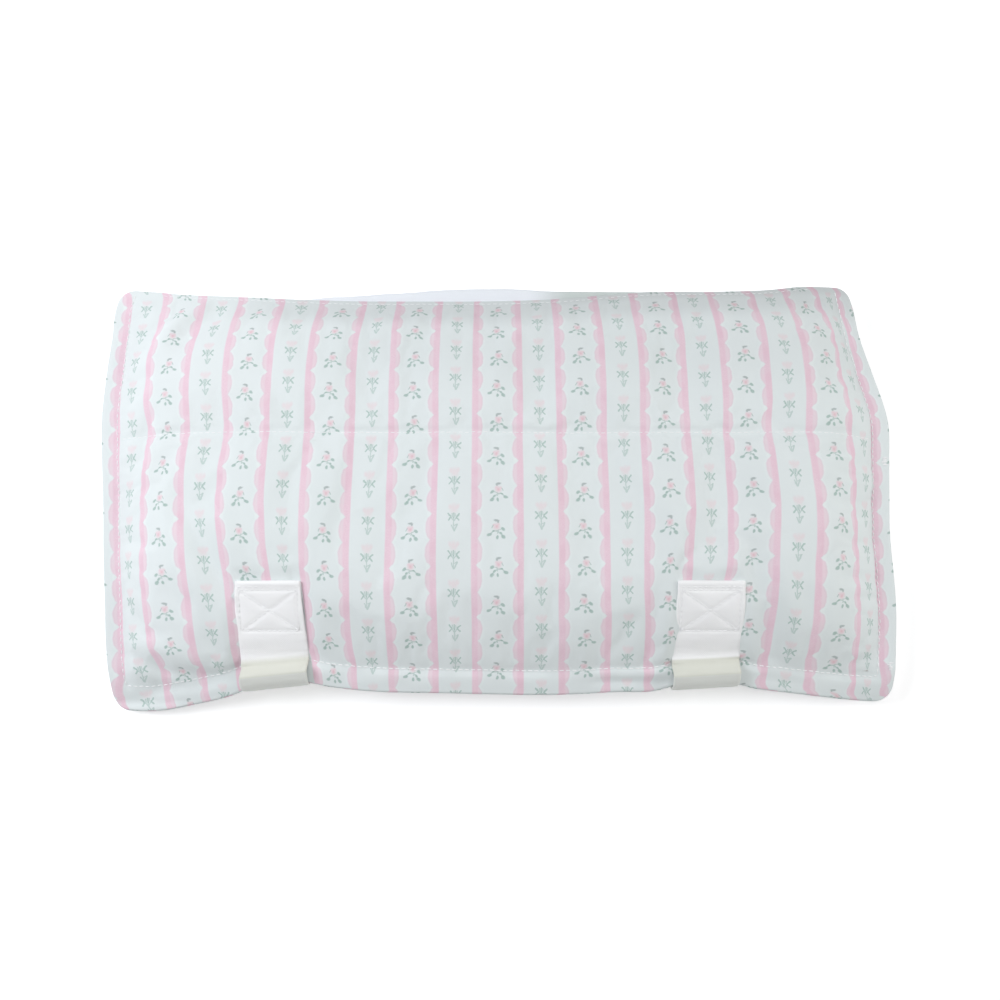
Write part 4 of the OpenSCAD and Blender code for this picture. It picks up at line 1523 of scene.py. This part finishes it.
def strap_webbing():
    """Herringbone twill: diagonal ribs that turn in narrow bands."""
    g = Graph("strap_webbing")
    u, v, _ = g.print_place()
    painted_web_shade = g.attribute("painted_web_shade", "Fac")
    band_width, rib_pitch, pick_pitch, selvedge = 9.5, 1.35, 0.62, 17.3
    band = abs(u % band_width - band_width / 2)
    ribs = g.sine((v + band * 1.25) * (2 * math.pi / rib_pitch)) * 0.5 + 0.5
    picks = g.sine(v * (2 * math.pi / pick_pitch))
    edge = g.fade(abs(abs(u) - selvedge), 0.1, 0.7)
    height = ribs * 0.65 + picks * 0.12 + edge * 0.5
    soil = g.cloth_noise(u, v, 0.06, 0.06)
    white = g.mix(soil, srgb(252, 252, 253), srgb(255, 255, 254))
    # a warm, darker painted shade where the tab turns down towards the crease
    painted_warm_shade = g.mix(soil, srgb(213, 214, 200), srgb(219, 220, 208))
    # painted shade: 0 is white, 0.9 is a warm painted shade near the crease and 1.9 is the greyer
    # painted shade round the bend
    color = g.mix(g.fade(painted_web_shade, 0.9, 0.0) * 0.9, white, painted_warm_shade)
    color = g.mix(g.fade(painted_web_shade, 1.9, 1.0), color, srgb(228, 230, 224))
    # painted shade in the valleys between the ribs
    color = g.mix(g.fade(ribs, 0.0, 0.5) * 0.05, color, (0.6, 0.6, 0.62))
    waves = g.cloth_noise(u, v, 0.10, 0.16, offset=2.0)
    normal = g.bump(waves, strength=0.3, distance=0.0016)
    normal = g.bump(height, strength=0.38, distance=0.00030, normal=normal)
    return g.finish(color, 0.62 + ribs * 0.14, normal, sheen=0.2, specular=0.3)


def white_thread():
    g = Graph("white_thread")
    place = g.object_place()
    x, y, z = g.split(place)
    plies = g.sine(x * 9000.0 + y * 9000.0 + z * 6000.0)
    fuzz = g.noise(place, scale=2500.0)
    tint = srgb(252, 252, 252)
    shadow = (tint[0] * 0.86, tint[1] * 0.86, tint[2] * 0.88)
    color = g.mix(fuzz * 0.5, tint, shadow)
    normal = g.bump(plies * 0.5 + fuzz, strength=0.4, distance=0.00008)
    return g.finish(color, 0.55 + fuzz * 0.2, normal, sheen=0.2, specular=0.35)


def fibre_wadding():
    g = Graph("fibre_wadding")
    place = g.object_place()
    fibres = g.noise(place, scale=900.0, detail=6.0, roughness=0.75)
    clumps = g.noise(place, scale=160.0, detail=4.0, roughness=0.6)
    color = g.mix(fibres, srgb(252, 252, 250), srgb(228, 228, 222))
    normal = g.bump(fibres + clumps, strength=0.8, distance=0.0014)
    return g.finish(color, 0.85 + fibres * 0.1, normal, sheen=0.5, specular=0.1)


def speckled(name, tint_a, tint_b, scale, roughness, sheen, specular):
    g = Graph(name)
    grain = g.noise(g.object_place(), scale, detail=4.0, roughness=0.7)
    color = g.mix(grain, tint_a, tint_b)
    normal = g.bump(grain, strength=0.5, distance=0.0003)
    return g.finish(color, roughness + grain * 0.1, normal, sheen, specular)


COTTON = printed_cotton(), "printed_cotton"
LINING = plain_cloth("plain_lining", srgb(248, 248, 250), srgb(241, 242, 246), pitch=0.6,
                     strength=0.4), "plain_lining"
# the spine strip's right part has painted shade, greyer towards +X
SPINE = plain_cloth("plain_spine", srgb(245, 248, 253), srgb(240, 245, 250), pitch=0.5,
                    strength=0.35, right_painted_shade=srgb(206, 215, 211)), "plain_lining"
WEBBING = strap_webbing(), "webbing"
THREAD = white_thread(), "thread"
WADDING = fibre_wadding(), "wadding"
PILE = speckled("loop_pile", srgb(250, 250, 251), srgb(232, 233, 238), scale=1400.0,
                roughness=0.8, sheen=0.6, specular=0.15), "loop_pile"
HOOK = speckled("hook_nylon", srgb(246, 247, 249), srgb(226, 229, 233), scale=600.0,
                roughness=0.42, sheen=0.0, specular=0.5), "hook_nylon"

# ---------------------------------------------------------------- pieces on their bodies; the spine strip and the strap webbing are left unattached


def dress(ob, finish):
    material, slot = finish
    ob.data.materials.clear()
    ob.data.materials.append(material)


def mount(ob, finish, body, node=None):
    dress(ob, finish)
    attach(ob, body)
    if node:
        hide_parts(node)


# piece, finish, CAD piece it replaces
HALF_PIECES = [
    ("cover", COTTON, "cover"), ("lining", LINING, "lining"), ("wadding", WADDING, "batting"),
    ("topstitch", THREAD, "topstitch"), ("quilt", THREAD, "quilt_stitch"),
    ("spine", THREAD, "spine_stitch"), ("lining_rows", THREAD, None)]
for half in UP:
    for key, finish, node in HALF_PIECES:
        mount(pieces[half, key], finish, f"{half}_half", node and f"{half}_{node}")
    if half == "front":
        mount(edge_tacks, THREAD, "front_half")

dress(spine, SPINE)
FOLD_Y * MM
FOLD_Y * MM
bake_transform(spine)
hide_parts("spine_strip")

for side, strap in straps.items():
    upper, lower = strap["upper"], strap["lower"]
    x = STRAP_X[side] * MM
    tab, loop = f"{side}_tab", f"{side}_loop"
    dress(upper, WEBBING)
    dress(lower, WEBBING)
    (PEEL_Y - 3.6) * MM
    PEEL_Z * MM
    (PEEL_Y + 3.6) * MM
    PEEL_Z * MM
    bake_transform(upper)
    (SWING_Y + 3.2) * MM
    SWING_Z * MM
    (SWING_Y - 3.8) * MM
    SWING_Z * MM
    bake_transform(lower)
    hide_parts(f"{side}_strap_tab", f"{side}_strap_loop")
    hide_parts(f"{side}_strap_base")
    for key, finish, body, node in [
            ("box", THREAD, tab, "box_stitch"),
            ("anchor", THREAD, "back_half", "anchor_stitch"),
            ("loop_base", PILE, "front_half", "loop_patch"),
            ("loop_pile", PILE, "front_half", None),
            ("loop_thread", THREAD, "front_half", "loop_stitch"),
            ("hook_base", HOOK, tab, "hook_patch"),
            ("hooks", HOOK, tab, None)]:
        mount(strap[key], finish, body, node and f"{side}_{node}")

# ---------------------------------------------------------------- floor, lights, camera (metres)


def build_floor(half=6, z=-0.0006):
    mesh = bpy.data.meshes.new("floor")
    corners = [(-half, -half, z), (half, -half, z), (half, half, z), (-half, half, z)]
    mesh.from_pydata(corners, [], [(0, 1, 2, 3)])
    ob = bpy.data.objects.new("floor", mesh)
    bpy.context.scene.collection.objects.link(ob)
    g = Graph("pale_floor")
    mesh.materials.append(g.finish((0.93, 0.93, 0.93), roughness=0.9))
    g.surface.inputs["Emission Color"].default_value = (1, 1, 1, 1)
    g.surface.inputs["Emission Strength"].default_value = 0.30


def aim(ob, direction):
    ob.rotation_euler = Vector(direction).to_track_quat("-Z", "Y").to_euler()


def area_light(name, location, target, size, power, color):
    light = bpy.data.lights.new(name, "AREA")
    light.shape = "RECTANGLE"
    light.size, light.size_y = size
    light.energy = power
    light.color = color
    ob = bpy.data.objects.new(name, light)
    ob.location = location
    aim(ob, Vector(target) - Vector(location))
    bpy.context.scene.collection.objects.link(ob)


def build_camera():
    data = bpy.data.cameras.new("camera")
    data.sensor_width = 36
    data.lens = 34.2
    ob = bpy.data.objects.new("camera", data)
    ob.location = (0.005, -0.116, 0.573)
    aim(ob, (0, 0.19, -0.98))
    bpy.context.scene.collection.objects.link(ob)
    bpy.context.scene.camera = ob


build_floor()

world = bpy.data.worlds.new("studio")
bpy.context.scene.world = world
world.use_nodes = True
background = world.node_tree.nodes["Background"]
background.inputs["Color"].default_value = (0.975, 0.99, 1.0, 1)
background.inputs["Strength"].default_value = 0.26

area_light("key", location=(-0.74, 0.18, 0.74), target=(-0.14, 0.0, 0), size=(0.5, 0.5),
           power=6.1, color=(0.93, 0.945, 1.0))
area_light("top", location=(0.12, 0.26, 1.5), target=(0.05, 0, 0), size=(1.0, 1.0),
           power=6.45, color=(0.985, 1.0, 0.985))
area_light("side", location=(1.05, 0.02, 0.42), target=(0.16, 0, 0.02), size=(0.7, 0.5),
           power=3.9, color=(1.0, 0.99, 0.985))
build_camera()
bpy.context.scene.view_settings.view_transform = "Standard"
